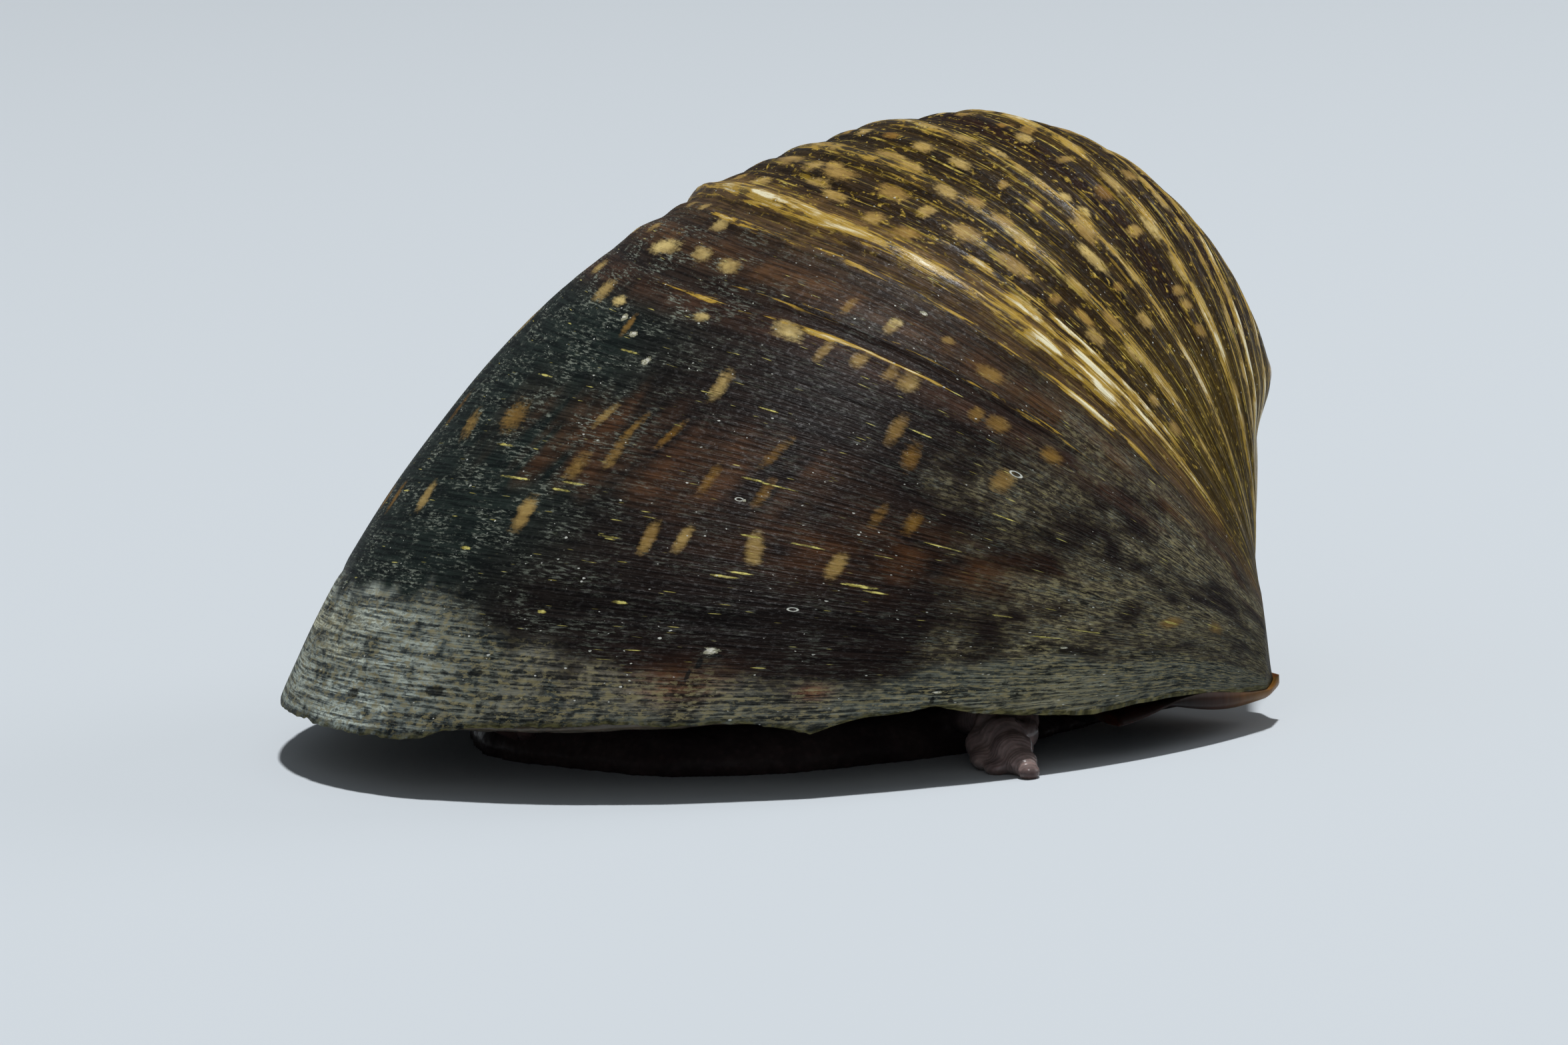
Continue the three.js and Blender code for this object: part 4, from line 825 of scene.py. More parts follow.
def half_moon(rings_in, top_at, bottom_at, outline, centre):
    """A flat-lying closed body: rings of one outline drawn in towards a centre, at the heights that top_at
    and bottom_at give from x, y and the ring's scale. Returns points, triangles and the scale of each
    point."""
    scales = np.asarray(rings_in, float)[:, None]
    x = centre[0] + (outline[:, 0] - centre[0]) * scales
    y = centre[1] + (outline[:, 1] - centre[1]) * scales
    count, rows = len(outline), len(rings_in)
    size = rows * count
    scale = np.broadcast_to(scales, x.shape)
    faces = [np.stack([x, y, at(x, y, scale)], -1).reshape(-1, 3) for at in (top_at, bottom_at)]
    middles = [[centre[0], centre[1], float(at(np.array(centre[0]), np.array(centre[1]), np.array(0.0)))]
               for at in (top_at, bottom_at)]
    points = np.concatenate([*faces, middles])
    n = np.arange(count)
    after = (n + 1) % count
    inner = (rows - 1) * count
    triangles = np.concatenate([
        grid_triangles(rows, count, 0, wrap=True), grid_triangles(rows, count, size, wrap=True, flip=True),
        np.stack([inner + n, inner + after, np.full(count, 2 * size)], -1),
        np.stack([size + inner + after, size + inner + n, np.full(count, 2 * size + 1)], -1),
        np.stack([n, size + n, size + after], -1), np.stack([n, size + after, after], -1),
    ])
    return points, triangles, np.concatenate([scale.reshape(-1), scale.reshape(-1), [0, 0]])


DECK_TEETH = 9


def deck_piece():
    """The callus shelf across the rear of the aperture: its outline is the shell's rear rim and a toothed
    free edge. It is low along the back and rises over the tail. Its rim is a smooth roll that closes up to
    the lip, round at the left corner, and thins away along the lip's left and right sides."""
    rim = 0.25
    half_thickness = 0.3
    corner_share = 0.13
    side_steps = 60
    side = np.linspace(0, 1, side_steps, endpoint=False)
    left = hood(0, corner_share * (1 - side), rim + 0.35 * (1 - side)**2, rim * side**3 * 0.2, 0)
    back = hood(BACK_ANGLE, np.linspace(0, 1, 111), rim, rim, 0)
    right = hood(0, 1 - corner_share * (side + 1 / side_steps), rim + 0.35 * side**2, rim, 0)
    share = np.arange(1, 180) / 180
    tooth = 0.3 * between(share, .12, .25, .75, .88) * np.abs(np.sin(np.pi * DECK_TEETH * share)) ** 0.8
    hollow = between(share, 0, .2, .8, 1)
    edge_x = right[-1, 0] + (left[0, 0] - right[-1, 0]) * share
    edge_y = right[-1, 1] + (left[0, 1] - right[-1, 1]) * share
    edge = np.stack([edge_x + (-0.5 - edge_x) * hollow - tooth, edge_y, 0 * share], -1)
    outline = np.concatenate([left, back, right, edge])
    outline -= 0.6 * np.maximum(outline @ VIEW_RIGHT - 9.0, 0)[:, None] * VIEW_RIGHT

    def middle(x, y, scale):
        over_tail = fall(4.9, 8.6, np.abs(y - BODY_CENTRE_Y))
        before_back = fall(4.8, 8.2, x)
        inside_rim = np.maximum(fall(.7, .95, scale), fall(2.0, 4.0, x))
        return 0.9 + 1.0 * over_tail * before_back * inside_rim

    def outer(x, y, scale):
        """1 on the part of the shelf that lies under the lip."""
        at_side = smooth(6.5, 8.0, np.abs(y - BODY_CENTRE_Y))
        return smooth(.80, .92, scale) * np.maximum(smooth(3.2, 4.6, x), at_side)

    def roundness(scale):
        return np.sqrt(np.clip(1 - np.clip((scale - .93) / .0705, 0, 1) ** 2, 0, 1))

    def cornerward(x, y):
        """The distance towards the nearer corner, as the camera sees it from the left."""
        return VIEW_RIGHT[0] * x + VIEW_RIGHT[1] * np.minimum(y, LEFT_CORNER_Y + RIGHT_CORNER_Y - y)

    def hang(x, y, scale):
        """How far the shelf hangs down with the shell at the left corner; its very end hangs less."""
        toward = VIEW_RIGHT[0] * x + VIEW_RIGHT[1] * y
        low = corner_drop(toward) + 0.06 * smooth(6, 7, toward)
        return low * (1 - 0.3 * smooth(9.0, 9.3, toward)) * smooth(.7, .8, scale)

    def top(x, y, scale):
        high = middle(x, y, scale) + half_thickness * roundness(scale)
        lip = LIP_HEIGHT + 0.04 - hang(x, y, scale)
        return high + (lip - high) * outer(x, y, scale) * smooth(-2.5, 1.5, x)

    def bottom(x, y, scale):
        ripple = 0.03 * np.sin(x * 2.1 + y) * fall(.8, .95, scale)
        low = middle(x, y, scale) - half_thickness * roundness(scale) + ripple
        deep = (LIP_HEIGHT - 0.62) * smooth(4.6, 8.2, cornerward(x, y))
        thinned = LIP_HEIGHT + 0.02 - deep * (0.6 + 0.4 * roundness(scale))
        return np.minimum(low + (thinned - low) * outer(x, y, scale), top(x, y, scale) - 0.02)

    rings_in = [1, .997, .99, .978, .962, .945, .93, .91, .88, .84, .78, .7, .6, .48, .36, .24, .12]
    points, triangles, scale = half_moon(rings_in, top, bottom, outline, (3.0, BODY_CENTRE_Y))
    x, y = points[:, 0], points[:, 1]
    rightward = points @ VIEW_RIGHT
    # Painted shade: the callus under the lip and at its far left end is coloured near black. Towards the left
    # corner it eases through dark red-brown into the callus's amber and a pale tan edge.
    shaded_under_lip = smooth(.84, .95, scale) * fall(-6, -4, y) * fall(5.2, 5.8, x)
    shaded_far_left = fall(-6.5, -5.0, y) * fall(1.0, 3.0, x)
    colour = painted(
        "#7c5a34", ("#4a2f18", smooth(.86, .97, scale) * smooth(-2, 3, x) * 0.8),
        ("#c9a77c", fall(-.5, 2.2, x) * fall(.8, .9, scale) * 0.7),
        ("#120907", np.maximum(shaded_under_lip, shaded_far_left)), ("#32190b", shaded_under_lip * smooth(6.6, 7.8, rightward)),
        ("#6f4c1e", shaded_under_lip * smooth(7.6, 8.9, rightward)),
        ("#a8905c", shaded_under_lip * smooth(9.15, 9.5, rightward)),
        # Painted shade: dark brown on the top of the callus's end, under the shell's overhanging corner.
        ("#3b3222", smooth(8.2, 8.9, rightward) * smooth(1.0, 1.16, points[:, 2])),
    )
    return mesh_piece("callus_deck", points, triangles, fields={"ground": colour})


def deck_material():
    """Callus, limy glaze laid by the mantle over the rear of the opening: smooth, with a low gloss, a little
    see-through, amber to red-brown with soft clouds and faint growth lines."""
    material, node = new_material("porcelain callus")
    place = node("TexCoord", out="Object")
    cloud = node("TexNoise", place, 420, 3, 0.55)
    line = node("TexNoise", node("Mapping", place, Scale=(3800, 500, 900)), 1.0, 2.0, 0.5)
    ground = colour = node("Attribute", attribute_name="ground", out="Color")
    for share, shade in (
        (node("MapRange", cloud, .35, .7, 0, .7), (.5, .42, .36, 1)),
        (node("MapRange", line, .5, .75, 0, .4), (1.5, 1.4, 1.3, 1)),
    ):
        colour = node("Mix", share, colour, node("Mix", 1.0, ground, shade, blend_type="MULTIPLY"))
    node("OutputMaterial", node(
        "BsdfPrincipled", Base_Color=colour, Roughness=0.42, IOR=1.5, Subsurface_Weight=0.1,
        Subsurface_Scale=0.0003, Specular_IOR_Level=0.12,
        Normal=node("Bump", Height=line, Strength=0.6, Distance=0.00002),
    ))
    return material


def operculum_piece():
    """The half-moon door on the tail: flat front edge, round rear, growth ridges about its low left end, and
    a thin bevelled margin."""
    turn = circle(120)
    outline_x = 0.4 + 4.1 * np.maximum(np.cos(turn), -0.16)
    outline = np.stack([outline_x, BODY_CENTRE_Y + 5.0 * np.sin(turn), 0 * turn], -1)

    def from_nucleus(x, y):
        return np.hypot(x - 0.2, y + 3.0)

    def bevel(scale):
        return 0.17 * np.clip((scale - .93) / .07, 0, 1) ** 2

    def top(x, y, scale):
        age = from_nucleus(x, y)
        ridges = 0.035 * np.sin(age * 6.2 + 0.5 * np.sin(y)) * smooth(0.3, 1.2, age)
        return 1.25 - bevel(scale) + ridges * fall(.9, 1, scale)

    rings_in = [1, .985, .965, .94, .9, .85, .79, .72, .64, .56, .48, .4, .32, .24, .16, .08]
    points, triangles, scale = half_moon(
        rings_in, top, lambda x, y, scale: 0.82 + bevel(scale), outline, (1.2, BODY_CENTRE_Y),
    )
    age = from_nucleus(points[:, 0], points[:, 1])
    colour = painted(
        "#6a625a", ("#7b3b22", smooth(3.5, 6.5, age) * 0.7), ("#2e2623", smooth(.93, 1, scale) * 0.8),
    )
    return mesh_piece("operculum_plate", points, triangles, fields={"ground": colour, "age": age})


def operculum_material():
    """Limy operculum with a horny skin, grown in arcs: hard and smooth, with a low gloss and fine dark
    growth arcs."""
    material, node = new_material("limy operculum")
    age = node("Attribute", attribute_name="age", out="Fac")
    ground = node("Attribute", attribute_name="ground", out="Color")
    arcs = node("SINE", node("MULTIPLY", age, 21.0))
    cloud = node("TexNoise", node("TexCoord", out="Object"), 700, 3, 0.6)
    colour = node("Mix", node("MapRange", arcs, .1, .9, 0, .35), ground, "#2c201c")
    colour = node("Mix", node("MapRange", cloud, .4, .7, 0, .4), colour, "#9c948a")
    tall = node("MULTIPLY_ADD", arcs, 0.3, cloud)
    node("OutputMaterial", node(
        "BsdfPrincipled", Base_Color=colour, Roughness=0.34, IOR=1.55, Coat_Weight=0.15, Coat_Roughness=0.2,
        Normal=node("Bump", Height=tall, Strength=0.5, Distance=0.00003),
    ))
    return material


def ball(centre, radii, axes=np.eye(3), rows=24, columns=36):
    """A closed ball of three half-sizes along three axes, on a grid of turns; the poles are on the third
    axis."""
    down = np.linspace(0, np.pi, rows)[:, None]
    round_ = circle(columns)[None, :]
    height = np.cos(down) + 0 * round_
    unit_ball = np.stack([np.sin(down) * np.cos(round_), np.sin(down) * np.sin(round_), height], -1)
    points = (unit_ball * np.asarray(radii)) @ np.asarray(axes) + np.asarray(centre)
    return points.reshape(-1, 3), grid_triangles(rows, columns, 0, wrap=True, flip=True)


EYE_SIDES = {"left": -1, "right": 1}


def stalk_ends(side):
    """The start and the end of an eyestalk, on the outer side of the tentacle's base."""
    ends = ((-9.75, 2.9, 2.7), (-9.95, 3.75, 2.95))
    return [np.array([x, BODY_CENTRE_Y + side * out, z]) for x, out, z in ends]


def eye_piece(name, side):
    """A bead set in the stalk's end, whose outer third bulges as a clear cornea."""
    start, end = stalk_ends(side)
    out = unit(end - start)
    across = unit(np.cross(out, [0, 0, 1]))
    axes = np.stack([across, np.cross(out, across), out])
    points, triangles = ball((0, 0, 0), (1, 1, 1), axes)
    forward = points @ out
    radius = 0.28 * (1 + 0.07 * smooth(.55, .9, forward))
    centre = end + out * 0.30
    return mesh_piece(name, centre + points * radius[:, None], triangles, fields={"front": forward})


def eye_material():
    """A snail's eye, a black pigmented cup under a clear wet cornea: near black, mirror-smooth, brown at its
    edge."""
    material, node = new_material("wet black eye")
    cloud = node("TexNoise", node("TexCoord", out="Object"), 9000, 2)
    iris = node("Mix", node("MapRange", cloud, .35, .7), "#2b1a12", "#120c0a")
    edge = node("MapRange", node("Attribute", attribute_name="front", out="Fac"), .1, .75)
    colour = node("Mix", edge, iris, "#030304")
    node("OutputMaterial", node(
        "BsdfPrincipled", Base_Color=colour, Roughness=0.04, IOR=1.38, Coat_Weight=1.0, Coat_Roughness=0.02,
    ))
    return material


# Soft body

def curve_through(knots, count):
    """Points along a smooth curve through knots."""
    knots = np.asarray(knots, float)
    place = np.linspace(0, len(knots) - 1, count)
    return np.stack([through(np.arange(float(len(knots))), axis, place) for axis in knots.T], -1)


def closed_tube(path, wide, high, sides=32):
    """A closed body along a path. Each ring is square to the path, an oval of half-sizes wide and high."""
    tangent = unit(np.gradient(path, axis=0))
    side = unit(np.cross(tangent, [0, 0, 1]))
    top = np.cross(side, tangent)
    turn = circle(sides)
    sideways, upwards = (wide * np.cos(turn))[..., None], (high * np.sin(turn))[..., None]
    rings = path[:, None] + side[:, None] * sideways + top[:, None] * upwards
    count = len(path)
    n = np.arange(sides)
    after = (n + 1) % sides
    start, end = count * sides, count * sides + 1
    triangles = np.concatenate([
        grid_triangles(count, sides, 0, wrap=True, flip=True),
        np.stack([np.full(sides, start), n, after], -1),
        np.stack([np.full(sides, end), (count - 1) * sides + after, (count - 1) * sides + n], -1),
    ])
    return np.concatenate([rings.reshape(-1, 3), path[:1], path[-1:]]), triangles


def superoval(low_x, high_x, half_width, squareness, count):
    """An oval outline with fuller corners: cosine and sine raised to 2 / squareness."""
    turn = circle(count)
    along, aside = (np.sign(wave) * np.abs(wave) ** (2 / squareness) for wave in (np.cos(turn), np.sin(turn)))
    x = (low_x + high_x) / 2 + (high_x - low_x) / 2 * along
    return np.stack([x, BODY_CENTRE_Y + half_width * aside, 0 * turn], -1)


def foot_part():
    """The foot: a low slab on its flat sole, with a thin, softly frilled margin and a thin tail under the
    door."""
    outline = superoval(-11.5, 5.4, 7.2, 2.4, 160)
    turn = circle(160)
    centre = np.array([-3.05, BODY_CENTRE_Y, 0])
    frill = 0.012 * np.sin(7 * turn) + 0.008 * np.sin(11 * turn) + 0.004 * np.sin(31 * turn)
    outline = centre + (outline - centre) * (1 + frill)[:, None]

    def top(x, y, scale):
        height = 1.15 + (0.5 - 1.15) * smooth(-2.5, -1.0, x)
        margin = np.sqrt(np.clip(1 - np.clip((scale - .84) / .16, 0, 1) ** 2 * 0.9, 0, 1))
        return height * np.maximum(margin, 0.3)

    rings_in = [1, .985, .965, .94, .91, .87, .8, .7, .55, .4, .2]
    points, triangles, _ = half_moon(rings_in, top, lambda x, y, c: 0.0 * x, outline, centre)
    return points, triangles


def column_part():
    """The column of flesh from the foot up into the shell."""
    outline = superoval(-8.9, -1.3, 4.6, 3, 72)
    points, triangles, _ = half_moon(
        [1, .96, .8, .4], lambda x, y, scale: 4.8 + 0 * x, lambda x, y, scale: 0.5 + 0 * x, outline,
        (-5.0, BODY_CENTRE_Y),
    )
    points[:, 0] = np.maximum(points[:, 0], -8.7)
    return points, triangles


def mantle_part():
    """The mantle: it fills the hood to about 0.3 mm from its wall, hangs down inside the lip as a thick
    skirt, and is hollow over the head and the column."""
    rows, columns = 60, 96
    across = np.linspace(0, 1, columns)
    angle = np.linspace(-1.7, BACK_ANGLE, rows)[:, None] + 0 * across
    gap = 0.32
    wall = 0.5 + 0.4 * smooth(0, 14, angle) + gap
    dome = hood(angle, across + 0 * angle, wall, SHELL_WALL + gap, 0.5 + gap)
    rim = np.concatenate([dome[0], dome[-1, -2:0:-1]])
    centre = np.array([-1.0, BODY_CENTRE_Y])
    scales = np.array([1, .985, .965, .94, .91, .88, .85, .82, .78, .7, .55, .3, .12])[:, None]
    x = centre[0] + (rim[:, 0] - centre[0]) * scales
    y = centre[1] + (rim[:, 1] - centre[1]) * scales
    hollow = smooth(.13, .2, 1 - scales) * fall(-1.6, -0.6, x)
    skirt = rim[:, 2] - 0.12 * smooth(0, .04, 1 - scales)
    z = skirt + (4.3 - skirt) * hollow
    z = np.where(x > -1.2, np.maximum(z, 2.32 + 0.2 * smooth(-1.2, 0, x)), z)
    under = np.stack([x, y, z], -1)
    count = rim.shape[0]
    start = rows * columns
    points = np.concatenate([dome.reshape(-1, 3), under.reshape(-1, 3), [[centre[0], centre[1], 4.2]]])
    n = np.arange(count)
    after = (n + 1) % count
    inner = start + (len(scales) - 1) * count
    triangles = np.concatenate([
        grid_triangles(rows, columns), grid_triangles(len(scales), count, start, wrap=True, flip=True),
        np.stack([inner + after, inner + n, np.full(count, len(points) - 1)], -1),
    ])
    return points, triangles


def head_part():
    """Head and snout in one: broad and low, bending down in front and ending in two soft lobes."""
    knots = ((-7.6, 2.7), (-8.9, 2.66), (-10.3, 2.6), (-11.9, 2.15), (-13.0, 1.6))
    path = curve_through([(x, BODY_CENTRE_Y, z) for x, z in knots], 40)
    t = np.linspace(0, 1, 40)[:, None]
    knots = np.array([0, .2, .45, .62, .85, .95, 1.0])
    wide = through(knots, np.array([2.6, 2.5, 2.35, 1.95, 2.1, 1.85, 1.1]), t[:, 0])[:, None]
    high = through(knots, np.array([1.2, 1.18, 1.18, 1.0, .9, .75, .4]), t[:, 0])[:, None]
    turn = circle(48)
    notch = 1 - 0.2 * smooth(.8, 1, t) * np.abs(np.sin(turn)) ** 6
    square = 1 + 0.09 * np.sin(2 * turn) ** 2
    return closed_tube(path, wide * square * notch, high * square * notch, 48)


def lips_part():
    """Two soft lips round the mouth's slit, under the front of the snout: a ring that is thicker at both
    sides."""
    turn = circle(48)[:, None]
    round_ = circle(16)[None, :]
    thick = 0.25 + 0.05 * np.abs(np.cos(turn)) + 0.02 * np.sin(9 * turn)
    reach = 0.6 + thick * np.cos(round_)
    rise = thick * np.sin(round_) + 0 * turn
    ring = np.stack([reach * np.cos(turn), reach * np.sin(turn) * 0.95, rise], -1)
    tilt = math.radians(30)
    turned = np.stack([
        ring[..., 0] * math.cos(tilt) + ring[..., 2] * math.sin(tilt), ring[..., 1],
        -ring[..., 0] * math.sin(tilt) + ring[..., 2] * math.cos(tilt),
    ], -1) + np.array([-12.45, BODY_CENTRE_Y, 1.22])
    points = np.concatenate([turned, turned[:1]]).reshape(-1, 3)
    return points, grid_triangles(49, 16, 0, wrap=True, flip=True)


def tentacle_part(side):
    """A tentacle, drawn in: it curls from the head's side along the inside of the lip, ringed by small
    creases."""
    knots = [
        (-9.9, 2.1, 2.7), (-10.35, 2.75, 2.7), (-11.35, 3.6, 2.65), (-11.6, 4.75, 2.3), (-10.7, 5.75, 1.95),
        (-9.3, 6.1, 1.7),
    ]
    path = curve_through([(x, BODY_CENTRE_Y + side * y, z) for x, y, z in knots], 90)
    t = np.linspace(0, 1, 90)[:, None]
    round_end = np.sqrt(np.clip(1 - np.clip((t - .93) / .07, 0, 1) ** 2, 0.1, 1))
    radius = (0.52 - 0.25 * t) * (1 + 0.05 * np.sin(t * 150)) * round_end
    return closed_tube(path, radius, radius, 24)


def eyestalk_part(side):
    """A short stalk with a cupped end that holds the eye."""
    start, end = stalk_ends(side)
    t = np.linspace(-0.4, 1, 16)[:, None]
    path = start + (end - start) * t
    radius = 0.47 - 0.07 * t - 0.05 * smooth(.85, 1, t)
    return closed_tube(path, radius, radius, 24)


FOLD_PLACE = np.array([-3.65, -7.8, 0.0])


def fold_parts():
    """The fold of the foot's left edge below the lip: soft lobes round a slanting main one that ends in a
    small toe on the ground. Each has its place to the right, away and up, and its three half-sizes."""
    axes = np.stack([VIEW_RIGHT, VIEW_AWAY, [0, 0, 1]])
    lobes = [
        (-.10, -.30, 0.86, .56, .70, .56), (0.06, -1.0, 0.72, .60, .74, .56),
        (0.26, -1.75, 0.52, .54, .70, .46), (0.46, -2.40, 0.32, .42, .60, .32),
        (0.62, -2.95, 0.15, .30, .46, .20), (-.52, -.70, 0.52, .38, .60, .42),
        (-.44, -1.40, 0.28, .38, .60, .28), (-.10, -2.10, 0.16, .42, .50, .18),
        (0.56, -.20, 1.00, .44, .46, .38), (0.70, -.65, 0.76, .27, .40, .38),
        (0.00, 0.40, 1.00, .80, .80, .50), (0.10, 0.00, 0.26, .60, .60, .26),
    ]
    for right, away, up, a, b, c in lobes:
        yield ball(FOLD_PLACE + (right, away, up) @ axes, (a, b, c), axes, 16, 24)
    neck = [FOLD_PLACE + (0.3, 0.6, 1.0), FOLD_PLACE + (0.2, 1.5, 0.9), FOLD_PLACE + (0.1, 2.6, 0.7)]
    size = np.linspace(0.6, 0.45, 12)[:, None]
    yield closed_tube(curve_through(neck, 12), size * 1.2, size * 0.8, 20)


def joined(parts):
    """Several bodies' points and triangles as one list of each."""
    points, triangles, start = [], [], 0
    for part_points, part_triangles in parts:
        points.append(part_points)
        triangles.append(part_triangles + start)
        start += len(part_points)
    return np.concatenate(points), np.concatenate(triangles)


def through_modifiers(points, triangles, *modifiers):
    """Runs a mesh in millimetres through Blender modifiers, each a type and its settings. Gives points,
    triangles and normals."""
    mesh = bpy.data.meshes.new("working")
    mesh.from_pydata(points.tolist(), [], triangles.tolist())
    working = add_object("working", mesh)
    for kind, settings in modifiers:
        modifier = working.modifiers.new(kind.lower(), kind)
        for key, value in settings.items():
            setattr(modifier, key, value)
    shaped = bpy.data.meshes.new_from_object(working.evaluated_get(bpy.context.evaluated_depsgraph_get()))
    shaped.calc_loop_triangles()
    results = []
    for items, key, kind in (
        (shaped.vertices, "co", float), (shaped.loop_triangles, "vertices", np.int32),
        (shaped.vertices, "normal", float),
    ):
        values = np.empty(len(items) * 3, kind)
        items.foreach_get(key, values)
        results.append(values.reshape(-1, 3))
    bpy.data.objects.remove(working)
    bpy.data.meshes.remove(mesh)
    bpy.data.meshes.remove(shaped)
    return results


def solid_grain(points, size, seed):
    """Smooth noise in space, from three flat noises that share each pair of axes."""
    x, y, z = points.T / size
    return (grain(x, y, seed) + grain(y + 9.1, z, seed + 1) + grain(z + 4.7, x + 2.3, seed + 2)) / 1.8


def near_fold(points):
    """1 on the fold of the foot and 0 away from it."""
    reach = np.linalg.norm((points - FOLD_PLACE + VIEW_AWAY * 1.3 - (0, 0, 0.6)) / 2.1, axis=1)
    return fall(.8, 1.15, reach)


def flesh_piece():
    """All the soft parts in one skin. Closed bodies that run into one another are remeshed together on a
    fine grid and smoothed, which rounds their joins; then the skin is wrinkled, and thinned where it is
    flat."""
    parts = [foot_part(), column_part(), mantle_part(), head_part(), lips_part(), *fold_parts()]
    for side in EYE_SIDES.values():
        parts += [tentacle_part(side), eyestalk_part(side)]
    points, triangles, normals = through_modifiers(
        *joined(parts), ("REMESH", {"mode": "VOXEL", "voxel_size": 0.11}),
        ("SMOOTH", {"factor": 0.5, "iterations": 3}),
    )
    x, y, z = points.T
    wrinkle = 0.03 * solid_grain(points, 0.55, 51) + 0.018 * solid_grain(points, 0.22, 61)
    in_shell = smooth(2.0, 3.2, z) * smooth(-7.4, -6.2, x)
    wrinkle *= smooth(0.0, 0.3, z) * (1 - in_shell) * (1 - 0.5 * near_fold(points))
    slit = hill(y, BODY_CENTRE_Y, 0.10) * fall(-11.9, -11.5, x) * fall(1.5, 1.9, z)
    points = points + normals * (wrinkle - 0.22 * slit)[:, None]
    points[:, 2] = np.where(points[:, 2] < 0.05, 0.0, points[:, 2])
    thinning = {"decimate_type": "COLLAPSE", "ratio": 0.5, "use_collapse_triangulate": True}
    points, triangles, normals = through_modifiers(points, triangles, ("DECIMATE", thinning))
    points[:, 2] = np.maximum(points[:, 2], 0.0)
    x, y, z = points.T
    aside = np.abs(y - BODY_CENTRE_Y)
    on_fold = near_fold(points)
    mouth = np.exp(-(np.linalg.norm((points - (-12.5, BODY_CENTRE_Y, 1.2)) / (.9, 1.1, .8), axis=1) ** 4))
    tentacle = smooth(2.6, 3.1, aside) * fall(-8.9, -8.6, x) * between(z, 1.2, 1.4, 3.3, 3.6)
    mantle_rim = between(z, 1.3, 1.4, 2.2, 2.8) * smooth(7.5, 9, np.hypot((x + 2) * .82, aside))
    colour = painted(
        "#2b2324", ("#453a38", smooth(-.3, .6, solid_grain(points, 1.6, 71)) * 0.5),
        # Painted shade: a near-black coat on low-lying flesh, standing for the shade under the lip.
        # The fold's pinkish grey is partly its own paler flesh and partly painted light: it is coloured
        # lighter because it lies in the lip's shade.
        ("#080707", fall(1.1, 1.5, z) * fall(-9, -8, -x)), ("#877672", on_fold * 0.95),
        ("#534745", on_fold * smooth(.45, .75, (points - FOLD_PLACE) @ VIEW_RIGHT - (.9 - z))),
        ("#6b4630", on_fold * fall(.03, .14, z) * 0.6),
        ("#7b6f66", smooth(.93, .99, -normals[:, 2]) * fall(.01, .03, z)),
        ("#54403c", mouth * 0.8), ("#2a1614", hill(y, BODY_CENTRE_Y, 0.13) * mouth * 0.9),
        ("#1b1719", tentacle * 0.7), ("#5c5240", mantle_rim * 0.6),
    )
    wet = np.maximum(on_fold, smooth(8.5, 9.5, -x) * smooth(1.2, 1.5, z))
    return mesh_piece("soft_body", points, triangles, fields={"ground": colour, "fold": on_fold, "wet": wet})


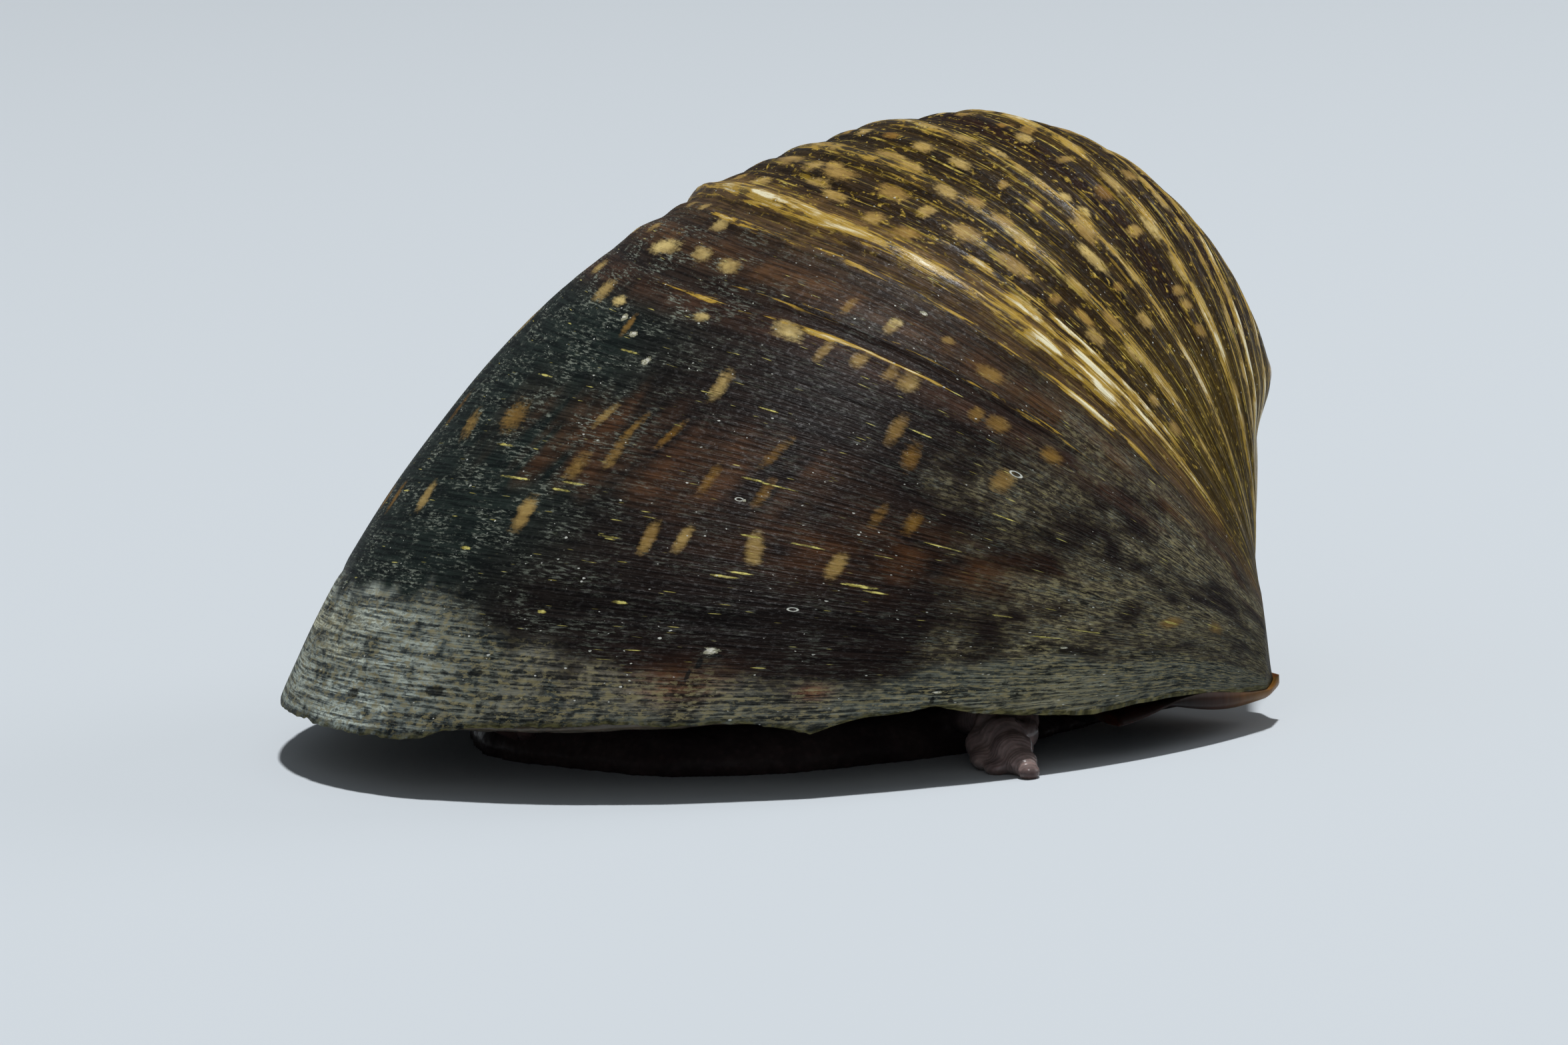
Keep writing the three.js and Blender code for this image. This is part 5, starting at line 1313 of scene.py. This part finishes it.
def flesh_material():
    """A wet snail's skin: dark, finely grained flesh under mucus. It gives a dim purplish brown-grey, small
    wet glints, fine curved lines like a fingerprint on the fold, and a paler, smoother sole."""
    material, node = new_material("wet snail skin")
    place = node("TexCoord", out="Object")
    pebble = node("TexVoronoi", place, 5200.0)
    mottled = node("TexNoise", place, 1500, 4, 0.6)
    warped = node("TexNoise", place, 900, 2, 0.5)
    on_fold, wet = (node("Attribute", attribute_name=name, out="Fac") for name in ("fold", "wet"))
    fold_middle = (FOLD_PLACE + MODEL_SHIFT - VIEW_RIGHT * 0.25 - VIEW_AWAY * 0.5 + (0, 0, 0.9)) / 1000
    offset = node("VectorMath", place, tuple(fold_middle), operation="SUBTRACT")
    distance = node("VectorMath", offset, operation="LENGTH")
    # Curved lines about 0.07 mm apart, drawn at 0.12 mm so that they show
    rings = node("SINE", node("MULTIPLY_ADD", distance, 52000.0, node("MULTIPLY", warped, 22.0)))
    ground = node("Attribute", attribute_name="ground", out="Color")
    darker = node("Mix", 1.0, ground, (.4, .38, .42, 1), blend_type="MULTIPLY")
    colour = node("Mix", node("MapRange", mottled, .35, .7, 0, .6), ground, darker)
    lighter = node("Mix", 1.0, colour, (1.7, 1.6, 1.6, 1), blend_type="MULTIPLY")
    colour = node("Mix", node("MapRange", pebble, .1, .5, .5, 0), colour, lighter)
    colour = node("Mix", node("MULTIPLY", node("MapRange", rings, .0, 1.0, 0, .45), on_fold), colour, lighter)
    tall = node("MULTIPLY_ADD", mottled, 0.8, node("MULTIPLY", pebble, -0.35))
    tall = node("MULTIPLY_ADD", node("MULTIPLY", rings, 0.07), on_fold, tall)
    node("OutputMaterial", node(
        "BsdfPrincipled", Base_Color=colour, Roughness=node("MapRange", mottled, .3, .7, .26, .48), IOR=1.4,
        Subsurface_Weight=0.12, Subsurface_Scale=0.0004, Subsurface_Radius=(1.0, 0.45, 0.35),
        Specular_IOR_Level=node("MapRange", wet, 0, 1, 0.08, 0.5), Coat_Roughness=0.06, Coat_IOR=1.34,
        Coat_Weight=node("MapRange", wet, 0, 1, 0.02, 0.6),
        Normal=node("Bump", Height=tall, Strength=0.8, Distance=0.00006),
    ))
    return material


finish_piece(shell_piece(), shell_material(), "shell", "shell_body_whorl", "shell_spire")
finish_piece(deck_piece(), deck_material(), "callus", "shell_columellar_deck")
finish_piece(operculum_piece(), operculum_material(), "horn", "operculum")
finish_piece(
    flesh_piece(), flesh_material(), "flesh", "foot_front", "foot_middle", "foot_tail", "foot_left_fold",
    "body_column", "mantle", "mantle_edge", "head", "snout", "tentacle_left_base", "tentacle_left_tip",
    "eyestalk_left", "tentacle_right_base", "tentacle_right_tip", "eyestalk_right",
)
wet_eye = eye_material()
for eye_side, sign in EYE_SIDES.items():
    finish_piece(eye_piece(f"{eye_side}_eye", sign), wet_eye, "eye", f"eye_{eye_side}")


# Floor and light

def floor_and_lights():
    """A wide pale floor, one soft lamp high overhead, and two dimmer ones at the sides."""
    mesh = bpy.data.meshes.new("floor")
    size = 2.5
    corners = [(x * size, y * size, 0) for x, y in ((-1, -1), (1, -1), (1, 1), (-1, 1))]
    mesh.from_pydata(corners, [], [(0, 1, 2, 3)])
    material, node = new_material("matt board")
    node("OutputMaterial", node("BsdfPrincipled", Base_Color="#c6cdd3", Roughness=0.9))
    mesh.materials.append(material)
    floor = add_object("floor", mesh)
    for name, power, width, place in (
        ("overhead", 6.0, 0.07, (0.03, -0.04, 0.80)),
        ("left", 0.16, 0.35, (-0.35, -0.35, 0.22)),
        ("right", 0.3, 0.25, (0.40, -0.10, 0.20)),
    ):
        data = bpy.data.lights.new(name, "AREA")
        data.shape = "DISK"
        data.size = width
        data.energy = power
        lamp = add_object(name, data)
        lamp.location = place
        direction = Vector(place) - Vector((0, 0, 0.006))
        lamp.rotation_euler = direction.to_track_quat("Z", "Y").to_euler()
    world = bpy.data.worlds.new("studio")
    world.use_nodes = True
    background = world.node_tree.nodes["Background"]
    background.inputs["Color"].default_value = rgba("#dfe5ea")
    background.inputs["Strength"].default_value = 0.18
    bpy.context.scene.world = world
    bpy.context.scene.view_settings.view_transform = "Standard"


floor_and_lights()
